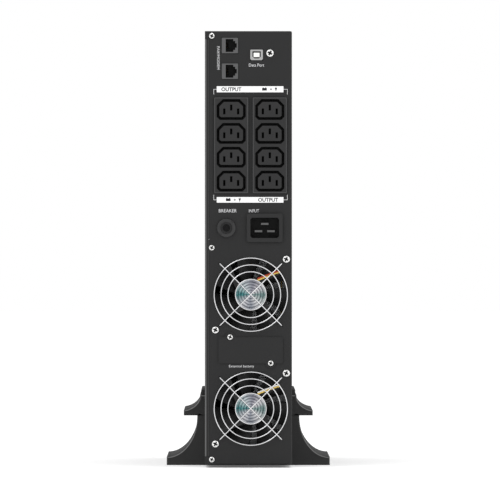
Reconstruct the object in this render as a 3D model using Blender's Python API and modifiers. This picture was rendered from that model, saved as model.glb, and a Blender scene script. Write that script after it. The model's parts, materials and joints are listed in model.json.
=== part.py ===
# A slim uninterruptible power supply standing on its side in tower feet.
# Metres, +Z up. The rear panel with its outlets faces -Y, the display and battery drawer face +Y.
# The origin lies on the ground under the middle of the whole object.

import math

import bmesh
import bpy
from mathutils import Matrix, Vector

MM = 0.001

# Body
BODY_WIDTH = 88 * MM
BODY_HEIGHT = 438 * MM
BODY_DEPTH = 430 * MM
SHEET = 1.2 * MM
BEND_RADIUS = 1.6 * MM
FIT_GAP = 0.3 * MM
COVER_STRIP = 4.2 * MM  # width of the cover's edge that shows beside the rear panel
PANEL_LIP = 2.5 * MM
PANEL_CORNER = 8 * MM
PANEL_RIM_DEPTH = 14 * MM
PANEL_SCREW_INSET = 7 * MM
PANEL_SCREW_END = 5 * MM
SCREW_TAB = 13 * MM
BAY_HEIGHT = 228 * MM  # the battery bay reaches this high in the body
BAY_REAR = 116 * MM  # and stops this far behind the rear panel

# Rear panel fittings, as places across (x) and up the body (z)
MIDDLE = 2.3 * MM  # the fittings are centred on the panel between the cover's strip and the far wall
OUTLET_X = (-17.4 * MM, 21.6 * MM)
OUTLET_Z = 322.5 * MM
OUTLET_PITCH = 24.1 * MM
OUTLETS_PER_BLOCK = 4
OUTLET_BLOCK = (34.8 * MM, 97.1 * MM)
OUTLET_FLANGE = 1.8 * MM
OUTLET_BEHIND = 24 * MM
OUTLET_NECK = 2 * MM  # the body behind the panel is this much smaller all round
OUTLET_RECESS = (29.4 * MM, 21 * MM)
OUTLET_RECESS_CHAMFERS = (6.2 * MM, 3.2 * MM)  # top and bottom corners
OUTLET_RING = 2.8 * MM  # width of the groove around each core
OUTLET_GROOVE_DEPTH = 15 * MM
OUTLET_SLOT = (2.3 * MM, 5.9 * MM)
OUTLET_SLOT_DEPTH = 17 * MM
OUTLET_SLOT_X = 7 * MM
OUTLET_SLOT_Z = -1.9 * MM
OUTLET_EARTH_Z = 2 * MM

INLET_AT = (16.5 * MM, 239.1 * MM)
INLET_FLANGE = (36.3 * MM, 28.7 * MM)
INLET_FLANGE_PROUD = 2.4 * MM
INLET_MOUTH = (29 * MM, 20.6 * MM)
INLET_MOUTH_CHAMFERS = (1.8 * MM, 1.8 * MM)
INLET_WALL = 1.8 * MM
INLET_DEPTH = 17 * MM
INLET_BACK = 4 * MM
INLET_PIN = (7.6 * MM, 2 * MM)
INLET_PIN_TAIL = 6 * MM
INLET_PIN_SHORT = 2.5 * MM  # the blades end this far inside the mouth
INLET_PIN_X = 6.3 * MM
INLET_PIN_Z = -3.4 * MM
INLET_EARTH_Z = 4 * MM

BREAKER_AT = (-22.3 * MM, 239 * MM)
BREAKER_BODY = (14 * MM, 30 * MM, 26 * MM)  # across, deep, tall
BREAKER_BUSH_RADIUS = 5.4 * MM
BREAKER_BUSH_PROUD = 7 * MM
BREAKER_BUTTON_RADIUS = 3.4 * MM
BREAKER_BUTTON_PROUD = 2.5 * MM
BREAKER_BUTTON_LENGTH = 12 * MM
BREAKER_NUT_RADIUS = 9.3 * MM
BREAKER_NUT_HEIGHT = 2.6 * MM

JACK_X = -18.7 * MM
JACK_Z = (423.4 * MM, 397.4 * MM)
JACK_FACE = (16.4 * MM, 15.6 * MM)
JACK_PROUD = 0.8 * MM
JACK_DEPTH = 15 * MM
JACK_CAVITY_DEPTH = 12.5 * MM
JACK_CAVITY_LEFT = -4.3 * MM  # places across the opening, from its middle
JACK_CAVITY_STEPS = ((3.4 * MM, 6.5 * MM), (5.3 * MM, 4.5 * MM), (6.9 * MM, 2.25 * MM))

SOCKET_AT = (8.25 * MM, 413.9 * MM)
SOCKET_SHELL = (12.7 * MM, 10.6 * MM)
SOCKET_MOUTH = (8.4 * MM, 7.2 * MM)
SOCKET_CHAMFER = 1.9 * MM
SOCKET_TONGUE = (6 * MM, 4.4 * MM)
SOCKET_PROUD = 1.0 * MM
SOCKET_MOUTH_DEPTH = 10 * MM
SOCKET_TONGUE_SHORT = 0.6 * MM
COMM_BOARD_Z = (386 * MM, 432 * MM)
COMM_BOARD_X = (-30 * MM, 30 * MM)
BOARD_THICKNESS = 1.6 * MM
DATA_SCREW_AT = (21.8 * MM, 415.7 * MM)
STANDOFF_RADIUS = 3.6 * MM

PLATE_Z = 115.4 * MM
PLATE_SIZE = (65.2 * MM, 26.7 * MM)
PLATE_THICKNESS = 1 * MM
PLATE_EAR_RADIUS = 5.2 * MM
PLATE_EAR_STEP = 0.1 * MM  # the ears are pressed this much thinner on each face
PLATE_SCREWS = ((-18.5 * MM, 128.7 * MM), (22.5 * MM, 102.3 * MM))
PLATE_WINDOW = (56 * MM, 17 * MM)  # cut-out in the panel that the plate closes

FAN_X = 2.4 * MM
FAN_Z = {"upper": 171.6 * MM, "lower": 56.4 * MM}
FAN_SIZE = 80 * MM
FAN_DEPTH = 25 * MM
FAN_BORE_RADIUS = 38 * MM
FAN_BARREL = 1.5 * MM
FAN_STEPS = 28
FAN_FLANGE = 3 * MM
FAN_HOLE_PITCH = 71.5 * MM
FAN_MOUNT_RADIUS = 15.6 * MM
FAN_MOUNT_DEPTH = 3.8 * MM
FAN_MOUNT_SINK = 0.7 * MM
FAN_STRUTS = 4
FAN_STRUT_START = 66  # degrees round the hub
FAN_STRUT_SWEEP = -29  # degrees further round where each strut meets the barrel
FAN_STRUT = (4.4 * MM, 2.4 * MM)
FAN_HUB_RADIUS = 16.4 * MM
FAN_HUB_DEPTH = 16.5 * MM
FAN_TIP_CLEARANCE = 1.2 * MM
FAN_BLADES = 7
FAN_BLADE = 1.5 * MM
FAN_BLADE_HEIGHT = 13 * MM
FAN_BLADE_SPAN = 38  # degrees
FAN_SHAFT_RADIUS = 1.5 * MM
GUARD_WIRE = 1.6 * MM
GUARD_RING_DIAMETERS = (75 * MM, 61 * MM, 47 * MM, 31.5 * MM)
GUARD_REACH = 44.5 * MM
GUARD_PROUD = 2.4 * MM  # the crossing wires' centre line above the panel
GUARD_RING_LIFT = 1.2 * MM
GUARD_LEG = 1.3 * MM
GUARD_STEPS = 24
PANEL_FAN_HOLE_RADIUS = 38 * MM
LEAD_RADIUS = 0.8 * MM
LEAD_LANE = 12 * MM  # the two leads keep this far apart on their way to the board

SCREW_STEPS = 8
SMALL_HEAD = (3.1 * MM, 1.9 * MM)  # radius and height
LARGE_HEAD = (3.85 * MM, 2.2 * MM)
DATA_HEAD = (4.1 * MM, 2.1 * MM)
SMALL_SHANK = 1.5 * MM
LARGE_SHANK = 1.9 * MM

# Front
BEZEL_DEPTH = 24 * MM
BEZEL_WALL = 2.5 * MM
BEZEL_RADIUS = 5 * MM
DISPLAY_Z = 372 * MM
DISPLAY_RADIUS = 36 * MM
DISPLAY_LIP = 2.6 * MM
DISPLAY_THICKNESS = 4.8 * MM
SCREEN_SIZE = (50 * MM, 28 * MM)
SCREEN_UP = 7 * MM
SCREEN_SINK = 1.6 * MM
BUTTON_RADIUS = 3.5 * MM
BUTTON_LIP = 1.1 * MM
BUTTON_PROUD = 1.2 * MM
BUTTON_DOWN = 19 * MM
BUTTON_PITCH = 12 * MM
BUTTON_NAMES = ("power_button", "up_button", "down_button", "enter_button")
RETAINER_WALL = 6 * MM
VENT_SLOT = (60 * MM, 3.4 * MM)
VENT_PITCH = 10 * MM
BEZEL_VENTS = 6
DOOR_VENTS = 18
VENT_MARGIN = 24 * MM

# Battery drawer
BATTERY = (65 * MM, 151 * MM, 98 * MM)  # across, deep, tall
BATTERY_GAP = 1 * MM
TRAY_WALL_HEIGHT = 42 * MM
TRAY_CLEARANCE = 0.6 * MM
TERMINAL = (6.4 * MM, 8 * MM, 4 * MM)

# Power section
BOARD_Y = (45 * MM, 375 * MM)  # from the rear panel
BOARD_Z = (238 * MM, 428 * MM)
BOARD_OFF_WALL = 8 * MM
HEATSINK_Y = (110 * MM, 230 * MM)
HEATSINK_Z = (330 * MM, 410 * MM)
HEATSINK_HEIGHT = 34 * MM
HEATSINK_BASE = 5 * MM
HEATSINK_FINS = 8
HEATSINK_FIN = 2.2 * MM
CORE_SIZE = (48 * MM, 76 * MM, 64 * MM)
CORE_AT = (290 * MM, 300 * MM)  # from the rear panel, up the body
COIL_SIZE = (40 * MM, 50 * MM, 90 * MM)

# Tower feet
FOOT_DEPTH = 235 * MM
FOOT_INSET = 97.5 * MM
FOOT_FLOOR = 3 * MM
TOE_REACH = 83.4 * MM
TOE_HEIGHT = 8.2 * MM
WALL_REACH = 52.2 * MM  # outer side of the foot's upright
TOE_ARCH_TOP = 50.8 * MM
WING_REACH = 66 * MM
WING_TIP_HEIGHT = 4.8 * MM
WING_ARCH_TOP = 71.5 * MM
WING_ROOT = 49.3 * MM
WING_ARCH_WIDTH = 20 * MM
ARCH_STEPS = 7
CLIP_REACH = 48.2 * MM
CLIP_TOP = 77 * MM
CLIP_INSET = 3 * MM
FOOT_ROUNDING = 1.8 * MM

# Derived places
BASE = FOOT_FLOOR + FIT_GAP
REAR_PROUD = BREAKER_BUSH_PROUD + BREAKER_BUTTON_PROUD
OVERALL_DEPTH = REAR_PROUD + BODY_DEPTH + BUTTON_PROUD
REAR = -OVERALL_DEPTH / 2 + REAR_PROUD  # outer face of the rear panel
FRONT = REAR + BODY_DEPTH  # outer face of the bezel
SIDE = BODY_WIDTH / 2
BEZEL_BACK = FRONT - BEZEL_DEPTH
STRIP_EDGE = -SIDE + COVER_STRIP
SPLIT = BASE + BAY_HEIGHT

COLOURS = {
    "black_paint": ((0.036, 0.036, 0.038), 0.5, 0.0),
    "black_plastic": ((0.02, 0.02, 0.021), 0.55, 0.0),
    "foot_plastic": ((0.04, 0.04, 0.042), 0.5, 0.0),
    "grey_plastic": ((0.13, 0.13, 0.13), 0.5, 0.0),
    "white_plastic": ((0.75, 0.75, 0.73), 0.5, 0.0),
    "nickel": ((0.75, 0.74, 0.72), 0.25, 1.0),
    "chrome_wire": ((0.85, 0.85, 0.86), 0.12, 1.0),
    "brass": ((0.7, 0.55, 0.3), 0.3, 1.0),
    "zinc": ((0.55, 0.56, 0.57), 0.4, 1.0),
    "aluminium": ((0.7, 0.7, 0.7), 0.4, 1.0),
    "board_green": ((0.02, 0.13, 0.05), 0.5, 0.0),
    "screen": ((0.02, 0.03, 0.05), 0.1, 0.0),
    "red_wire": ((0.5, 0.03, 0.02), 0.5, 0.0),
    "yellow_wire": ((0.6, 0.42, 0.05), 0.5, 0.0),
    "iron": ((0.25, 0.25, 0.26), 0.5, 1.0),
}


def up(height):
    """World height of a place given up the body."""
    return BASE + height


def span(middle, size):
    return (middle - size / 2, middle + size / 2)


def rear(near, far):
    """World Y of two distances behind the rear panel's outer face; less than nothing stands proud."""
    return (REAR + near, REAR + far)


# Scene and helpers


def clear_scene():
    for old in list(bpy.data.objects):
        bpy.data.objects.remove(old, do_unlink=True)


def new_collection(name):
    collection = bpy.data.collections.new(name)
    bpy.context.scene.collection.children.link(collection)
    return collection


def make_materials():
    materials = {}
    for name, (colour, roughness, metallic) in COLOURS.items():
        material = bpy.data.materials.new(name)
        material.use_nodes = True
        shader = material.node_tree.nodes["Principled BSDF"]
        shader.inputs["Base Color"].default_value = (*colour, 1)
        shader.inputs["Roughness"].default_value = roughness
        shader.inputs["Metallic"].default_value = metallic
        materials[name] = material
    return materials


def to_object(name, bm, location=(0, 0, 0)):
    mesh = bpy.data.meshes.new(name)
    bm.to_mesh(mesh)
    bm.free()
    obj = bpy.data.objects.new(name, mesh)
    obj.location = location
    TOOLS.objects.link(obj)
    return obj


def part(obj, material):
    """Moves a finished piece from the tools to the object's own collection."""
    TOOLS.objects.unlink(obj)
    PARTS.objects.link(obj)
    obj.data.materials.clear()
    obj.data.materials.append(MATERIALS[material])
    return obj


def hide_tools():
    for obj in TOOLS.objects:
        obj.hide_render = True
        obj.display_type = "WIRE"


def cube(x, y, z):
    bm = bmesh.new()
    bmesh.ops.create_cube(bm, size=1)
    bmesh.ops.scale(bm, vec=(x[1] - x[0], y[1] - y[0], z[1] - z[0]), verts=bm.verts)
    return bm, Vector((sum(x) / 2, sum(y) / 2, sum(z) / 2))


def block(name, x, y, z):
    return to_object(name, *cube(x, y, z))


def rounded_block(name, x, y, z, radius, axis, segments=3):
    """A block whose edges along one axis are rounded."""
    bm, centre = cube(x, y, z)
    along = [e for e in bm.edges if abs((e.verts[0].co - e.verts[1].co)[axis]) > 1e-9]
    bmesh.ops.bevel(bm, geom=along, offset=radius, segments=segments, profile=0.5, affect="EDGES")
    return to_object(name, bm, centre)


def folded_sheet(name, x, y, z, openings, radius, thickness, sharp=()):
    """A sheet folded round a box, open on the named sides; edges next to a sharp side stay square."""
    bm, centre = cube(x, y, z)
    sides = {"-X": (-1, 0, 0), "+X": (1, 0, 0), "-Y": (0, -1, 0), "+Y": (0, 1, 0), "-Z": (0, 0, -1), "+Z": (0, 0, 1)}
    bm.normal_update()
    gone = [f for f in bm.faces if any(f.normal.dot(Vector(sides[s])) > 0.9 for s in openings)]
    bmesh.ops.delete(bm, geom=gone, context="FACES")
    square = [f for f in bm.faces if any(f.normal.dot(Vector(sides[s])) > 0.9 for s in sharp)]
    folds = [e for e in bm.edges if len(e.link_faces) == 2 and not any(f in square for f in e.link_faces)]
    bmesh.ops.bevel(bm, geom=folds, offset=radius, segments=3, profile=0.5, affect="EDGES")
    obj = to_object(name, bm, centre)
    solidify = obj.modifiers.new("sheet", "SOLIDIFY")
    solidify.thickness = thickness
    solidify.offset = -1
    solidify.use_even_offset = True
    return obj


def rod(name, radius, place, y, steps=16):
    """A cylinder along Y at a place across and up."""
    bm = bmesh.new()
    bmesh.ops.create_cone(bm, cap_ends=True, segments=steps, radius1=radius, radius2=radius, depth=y[1] - y[0])
    bmesh.ops.rotate(bm, verts=bm.verts, cent=(0, 0, 0), matrix=Matrix.Rotation(math.radians(90), 3, "X"))
    return to_object(name, bm, (place[0], sum(y) / 2, place[1]))


def turned(name, profile, place, outward=-1, steps=16):
    """A solid turned about Y from (radius, height) points, its heights counted outward from the place."""
    bm = bmesh.new()
    verts = [bm.verts.new((radius, 0, height)) for radius, height in profile]
    for first, second in zip(verts, verts[1:]):
        bm.edges.new((first, second))
    obj = to_object(name, bm, place)
    obj.rotation_euler = (math.radians(-90 * outward), 0, 0)
    screw = obj.modifiers.new("turn", "SCREW")
    screw.axis = "Z"
    screw.steps = screw.render_steps = steps
    screw.use_merge_vertices = True
    screw.merge_threshold = 1e-6
    return obj


def extruded(name, outline, y, place=(0, 0)):
    """A flat outline in the XZ plane, as thick as the given stretch of Y."""
    curve = bpy.data.curves.new(name, "CURVE")
    curve.dimensions = "2D"
    curve.fill_mode = "BOTH"
    curve.extrude = (y[1] - y[0]) / 2
    spline = curve.splines.new("POLY")
    spline.points.add(len(outline) - 1)
    for point, (x, z) in zip(spline.points, outline):
        point.co = (x, z, 0, 1)
    spline.use_cyclic_u = True
    flat = bpy.data.objects.new(name + "_outline", curve)
    flat.location = (place[0], sum(y) / 2, place[1])
    flat.rotation_euler = (math.radians(90), 0, 0)
    return curve_to_mesh(name, flat)


def curve_to_mesh(name, flat):
    bpy.context.scene.collection.objects.link(flat)
    bpy.context.view_layer.update()
    evaluated = flat.evaluated_get(bpy.context.evaluated_depsgraph_get())
    mesh = bpy.data.meshes.new_from_object(evaluated)
    bm = bmesh.new()
    bm.from_mesh(mesh)
    bmesh.ops.remove_doubles(bm, verts=bm.verts, dist=1e-6)
    bmesh.ops.recalc_face_normals(bm, faces=bm.faces)
    bm.to_mesh(mesh)
    bm.free()
    obj = bpy.data.objects.new(name, mesh)
    obj.matrix_world = flat.matrix_world
    TOOLS.objects.link(obj)
    bpy.data.objects.remove(flat)
    return obj


def wire(name, points, radius, resolution=0):
    curve = bpy.data.curves.new(name, "CURVE")
    curve.dimensions = "3D"
    curve.bevel_depth = radius
    curve.bevel_resolution = resolution
    curve.use_fill_caps = True
    spline = curve.splines.new("POLY")
    spline.points.add(len(points) - 1)
    for point, co in zip(spline.points, points):
        point.co = (*co, 1)
    return curve_to_mesh(name, bpy.data.objects.new(name + "_path", curve))


def smooth_route(points, steps):
    """Points read from a smooth curve through the route's own points."""
    ends = [points[0], *points, points[-1]]
    route = []
    for a, b, c, d in zip(ends, ends[1:], ends[2:], ends[3:]):
        a, b, c, d = Vector(a), Vector(b), Vector(c), Vector(d)
        for step in range(steps):
            t = step / steps
            route.append(0.5 * (2 * b + (c - a) * t + (2 * a - 5 * b + 4 * c - d) * t**2
                                + (3 * b - a - 3 * c + d) * t**3))
    return [*route, Vector(points[-1])]


def gather(name, objects):
    """Several separate tools as one."""
    bm = bmesh.new()
    bpy.context.view_layer.update()
    for obj in objects:
        before = set(bm.verts)
        bm.from_mesh(obj.data)
        added = [v for v in bm.verts if v not in before]
        bmesh.ops.transform(bm, matrix=obj.matrix_world, verts=added)
        bpy.data.objects.remove(obj)
    return to_object(name, bm)


def combine(target, tool, operation):
    modifier = target.modifiers.new(tool.name, "BOOLEAN")
    modifier.operation = operation
    modifier.solver = "EXACT"
    modifier.object = tool
    return target


def cut(target, *tools):
    for tool in tools:
        combine(target, tool, "DIFFERENCE")


def join(target, *tools):
    for tool in tools:
        combine(target, tool, "UNION")


def rectangle(size, chamfers=(0, 0)):
    """An upright rectangle's outline, with its top and its bottom corners cut off."""
    half_x, half_z = size[0] / 2, size[1] / 2
    top, bottom = chamfers
    outline = [(half_x, half_z - top)]
    if top:
        outline += [(half_x - top, half_z), (top - half_x, half_z), (-half_x, half_z - top)]
    else:
        outline += [(-half_x, half_z)]
    if bottom:
        outline += [(-half_x, bottom - half_z), (bottom - half_x, -half_z),
                    (half_x - bottom, -half_z), (half_x, bottom - half_z)]
    else:
        outline += [(-half_x, -half_z), (half_x, -half_z)]
    return outline


def screw(name, head, shank_radius, length, place, seat=0):
    """A round-headed screw driven in from behind; the seat is how far its head's face stands off the panel."""
    radius, height = head
    profile = [(0, height), (radius * 0.6, height * 0.88), (radius * 0.92, height * 0.45), (radius, 0),
               (shank_radius, 0), (shank_radius, -length), (0, -length)]
    at = (place[0], REAR - seat - FIT_GAP, up(place[1]))
    return part(turned(name, profile, at, steps=SCREW_STEPS), "nickel")


def screw_hole(name, shank_radius, place, y):
    return rod(name, shank_radius + FIT_GAP, (place[0], up(place[1])), y, SCREW_STEPS)


# Housing


def panel_screw_places():
    x = -SIDE + PANEL_SCREW_INSET
    return {
        "panel_screw_bottom": (x, PANEL_SCREW_END),
        "panel_screw_middle": (x, BODY_HEIGHT / 2),
        "panel_screw_top": (x, BODY_HEIGHT - PANEL_SCREW_END),
    }


def fan_screw_places(which):
    reach = FAN_HOLE_PITCH / 2
    return {
        which + "_fan_screw_upper": (FAN_X + reach, FAN_Z[which] + reach),
        which + "_fan_screw_lower": (FAN_X - reach, FAN_Z[which] - reach),
    }


def make_rear_panel():
    panel = folded_sheet("rear_panel", (-SIDE, SIDE), rear(0, PANEL_LIP), (up(0), up(BODY_HEIGHT)),
                         ("-X", "+Y"), BEND_RADIUS, SHEET)
    through = rear(-SHEET, 2 * PANEL_LIP)
    cut(panel, block("cover_strip_notch", (-2 * SIDE, STRIP_EDGE), through,
                     (up(PANEL_CORNER), up(BODY_HEIGHT - PANEL_CORNER))))

    inner = SHEET + FIT_GAP
    rim_x = (STRIP_EDGE + 2 * SHEET, SIDE - inner)
    rim_y = rear(SHEET / 2, PANEL_RIM_DEPTH)
    join(panel,
         block("panel_rim_bottom", rim_x, rim_y, (up(inner), up(inner + SHEET))),
         block("panel_rim_top", rim_x, rim_y, (up(BODY_HEIGHT - inner - SHEET), up(BODY_HEIGHT - inner))),
         block("panel_rim_side", (SIDE - inner - SHEET, SIDE - inner), rim_y,
               span(up(BODY_HEIGHT / 2), SCREW_TAB)))

    for x in OUTLET_X:
        size = [side - 2 * OUTLET_NECK + 2 * FIT_GAP for side in OUTLET_BLOCK]
        cut(panel, block("outlet_window", span(x, size[0]), through, span(up(OUTLET_Z), size[1])))
    x, z = INLET_AT
    size = [side + 2 * (INLET_WALL + FIT_GAP) for side in INLET_MOUTH]
    cut(panel, block("inlet_window", span(x, size[0]), through, span(up(z), size[1])))
    x, z = BREAKER_AT
    cut(panel, rod("breaker_hole", BREAKER_BUSH_RADIUS + FIT_GAP, (x, up(z)), through))
    for z in JACK_Z:
        size = [side + 2 * FIT_GAP for side in JACK_FACE]
        cut(panel, block("jack_window", span(JACK_X, size[0]), through, span(up(z), size[1])))
    x, z = SOCKET_AT
    size = [side + 2 * FIT_GAP for side in SOCKET_SHELL]
    cut(panel, block("socket_window", span(x, size[0]), through, span(up(z), size[1])))
    cut(panel, block("battery_window", span(MIDDLE, PLATE_WINDOW[0]), through, span(up(PLATE_Z), PLATE_WINDOW[1])))
    for which, z in FAN_Z.items():
        cut(panel, rod(which + "_fan_hole", PANEL_FAN_HOLE_RADIUS, (FAN_X, up(z)), through, FAN_STEPS))
        legs = [rod("leg_hole", GUARD_WIRE / 2 + FIT_GAP, (FAN_X + dx, up(z) + dz), through, 8)
                for dx, dz in guard_leg_places()]
        cut(panel, gather(which + "_guard_leg_holes", legs))

    small = {**panel_screw_places(), "data_screw": DATA_SCREW_AT,
             "plate_screw_upper": PLATE_SCREWS[0], "plate_screw_lower": PLATE_SCREWS[1]}
    large = {**fan_screw_places("upper"), **fan_screw_places("lower")}
    holes = [screw_hole("small_hole", SMALL_SHANK, place, through) for place in small.values()]
    holes += [screw_hole("large_hole", LARGE_SHANK, place, through) for place in large.values()]
    cut(panel, gather("panel_screw_holes", holes))
    return part(panel, "black_paint")


def make_chassis():
    """Floor, side and roof, folded from one sheet and open at both ends and towards the cover."""
    y = (REAR + PANEL_LIP + FIT_GAP, BEZEL_BACK - FIT_GAP)
    chassis = folded_sheet("chassis", (-SIDE, SIDE), y, (up(0), up(BODY_HEIGHT)),
                           ("-X", "-Y", "+Y"), BEND_RADIUS, SHEET)
    return part(chassis, "black_paint")


def make_side_cover():
    inner = SHEET + FIT_GAP
    lip = COVER_STRIP + SHEET
    cover = folded_sheet("side_cover", (-SIDE, -SIDE + lip), (REAR, BEZEL_BACK - FIT_GAP),
                         (up(inner), up(BODY_HEIGHT - inner)), ("+X", "+Y"), BEND_RADIUS, SHEET)
    behind = REAR + SHEET + FIT_GAP
    cut(cover,
        block("strip_trim", (STRIP_EDGE - FIT_GAP, 0), (REAR - SHEET, behind), (0, 2 * BODY_HEIGHT)),
        block("corner_trim_bottom", (-2 * SIDE, 0), (REAR - SHEET, behind), (0, up(PANEL_CORNER + FIT_GAP))),
        block("corner_trim_top", (-2 * SIDE, 0), (REAR - SHEET, behind),
              (up(BODY_HEIGHT - PANEL_CORNER - FIT_GAP), 2 * BODY_HEIGHT)))
    tab_x = (-SIDE + SHEET / 2, -SIDE + 1.6 * PANEL_SCREW_INSET)
    lowest = up(inner + SHEET + FIT_GAP)
    highest = up(BODY_HEIGHT - inner - SHEET - FIT_GAP)
    tabs = {"bottom": (lowest, lowest + SCREW_TAB * 0.75), "middle": span(up(BODY_HEIGHT / 2), SCREW_TAB),
            "top": (highest - SCREW_TAB * 0.75, highest)}
    for where, z in tabs.items():
        join(cover, block("screw_tab_" + where, tab_x, (behind, behind + SHEET), z))
    holes = [screw_hole("tab_hole", SMALL_SHANK, place, rear(0, 4 * SHEET)) for place in panel_screw_places().values()]
    cut(cover, gather("tab_holes", holes))
    return part(cover, "black_paint")


def make_bay_divider():
    """A folded shelf between the battery bay and the power section."""
    x = (STRIP_EDGE + 2 * SHEET, SIDE - SHEET - FIT_GAP)
    shelf = folded_sheet("bay_divider", x, (REAR + BAY_REAR, BEZEL_BACK - FIT_GAP),
                         (SPLIT - 3 * SHEET, SPLIT + 10 * SHEET), ("-X", "-Y", "+Y", "+Z"), BEND_RADIUS, SHEET)
    return part(shelf, "zinc")


def make_panel_screws():
    for name, place in panel_screw_places().items():
        screw(name, SMALL_HEAD, SMALL_SHANK, 6 * MM, place)


# Outlets, inlet and breaker


def make_outlet_block(name, x):
    flange = rounded_block(name, span(x, OUTLET_BLOCK[0]), rear(-OUTLET_FLANGE - FIT_GAP, -FIT_GAP),
                           span(up(OUTLET_Z), OUTLET_BLOCK[1]), 1.5 * MM, 1)
    neck = [side - 2 * OUTLET_NECK for side in OUTLET_BLOCK]
    join(flange, block(name + "_neck", span(x, neck[0]), rear(-OUTLET_FLANGE, OUTLET_BEHIND),
                       span(up(OUTLET_Z), neck[1])))
    face = -OUTLET_FLANGE - FIT_GAP
    grooves, cores, slots = [], [], []
    core_size = [side - 2 * OUTLET_RING for side in OUTLET_RECESS]
    core_chamfers = [OUTLET_RECESS_CHAMFERS[0] - OUTLET_RING * 0.6, OUTLET_RECESS_CHAMFERS[1] - OUTLET_RING * 0.6]
    for index in range(OUTLETS_PER_BLOCK):
        z = up(OUTLET_Z) + (index - (OUTLETS_PER_BLOCK - 1) / 2) * OUTLET_PITCH
        grooves.append(extruded("groove", rectangle(OUTLET_RECESS, OUTLET_RECESS_CHAMFERS),
                                rear(face - MM, face + OUTLET_GROOVE_DEPTH), (x, z)))
        cores.append(extruded("core", rectangle(core_size, core_chamfers),
                              rear(face - 2 * MM, face + OUTLET_GROOVE_DEPTH + MM), (x, z)))
        for dx, dz in ((-OUTLET_SLOT_X, OUTLET_SLOT_Z), (0, OUTLET_EARTH_Z), (OUTLET_SLOT_X, OUTLET_SLOT_Z)):
            slots.append(block("slot", span(x + dx, OUTLET_SLOT[0]), rear(face - MM, face + OUTLET_SLOT_DEPTH),
                               span(z + dz, OUTLET_SLOT[1])))
    ring = gather(name + "_grooves", grooves)
    cut(ring, gather(name + "_cores", cores))
    cut(flange, ring, gather(name + "_slots", slots))
    return part(flange, "black_plastic")


def make_inlet():
    x, z = INLET_AT
    z = up(z)
    face = -INLET_FLANGE_PROUD - FIT_GAP
    housing = rounded_block("inlet_housing", span(x, INLET_FLANGE[0]), rear(face, -FIT_GAP),
                            span(z, INLET_FLANGE[1]), 2 * MM, 1)
    outer = [side + 2 * INLET_WALL for side in INLET_MOUTH]
    back = face + INLET_DEPTH + INLET_BACK
    join(housing, block("inlet_box", span(x, outer[0]), rear(-INLET_FLANGE_PROUD, back), span(z, outer[1])))
    cut(housing, extruded("inlet_mouth", rectangle(INLET_MOUTH, INLET_MOUTH_CHAMFERS),
                          rear(face - MM, face + INLET_DEPTH), (x, z)))
    pins = {"inlet_pin_line": (-INLET_PIN_X, INLET_PIN_Z), "inlet_pin_earth": (0, INLET_EARTH_Z),
            "inlet_pin_neutral": (INLET_PIN_X, INLET_PIN_Z)}
    holes = []
    for name, (dx, dz) in pins.items():
        at = (x + dx, z + dz)
        holes.append(block("pin_hole", span(at[0], INLET_PIN[0] + 2 * FIT_GAP), rear(face + INLET_DEPTH - MM, back + MM),
                           span(at[1], INLET_PIN[1] + 2 * FIT_GAP)))
        pin = block(name, span(at[0], INLET_PIN[0]), rear(face + INLET_PIN_SHORT, back + INLET_PIN_TAIL),
                    span(at[1], INLET_PIN[1]))
        part(pin, "nickel")
    cut(housing, gather("inlet_pin_holes", holes))
    return part(housing, "black_plastic")


def make_breaker():
    x, z = BREAKER_AT
    z = up(z)
    across, deep, tall = BREAKER_BODY
    bush_bore = BREAKER_BUTTON_RADIUS + FIT_GAP
    body = block("breaker_body", span(x, across), rear(SHEET + FIT_GAP, deep), span(z, tall))
    join(body, rod("breaker_bush", BREAKER_BUSH_RADIUS, (x, z), rear(-BREAKER_BUSH_PROUD, SHEET + MM), 20))
    inside = BREAKER_BUTTON_LENGTH - BREAKER_BUTTON_PROUD - BREAKER_BUSH_PROUD
    cut(body, rod("breaker_bore", bush_bore, (x, z), rear(-REAR_PROUD, inside + FIT_GAP), 20))
    part(body, "black_plastic")

    seat = -FIT_GAP
    nut = rod("breaker_nut", BREAKER_NUT_RADIUS, (x, z), rear(seat - BREAKER_NUT_HEIGHT, seat), 24)
    cut(nut, rod("breaker_nut_bore", BREAKER_BUSH_RADIUS + FIT_GAP, (x, z), rear(-BREAKER_BUSH_PROUD, SHEET), 20))
    part(nut, "black_plastic")
    part(rod("breaker_button", BREAKER_BUTTON_RADIUS, (x, z), rear(-REAR_PROUD, inside), 20), "black_plastic")


# Signal ports


def jack_opening():
    """Half above and half below the middle: the plug's body, its shoulder and its latch."""
    upper = []
    left = JACK_CAVITY_LEFT
    for right, half in JACK_CAVITY_STEPS:
        upper += [(left, half), (right, half)]
        left = right
    return upper + [(x, -z) for x, z in reversed(upper)]


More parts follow.
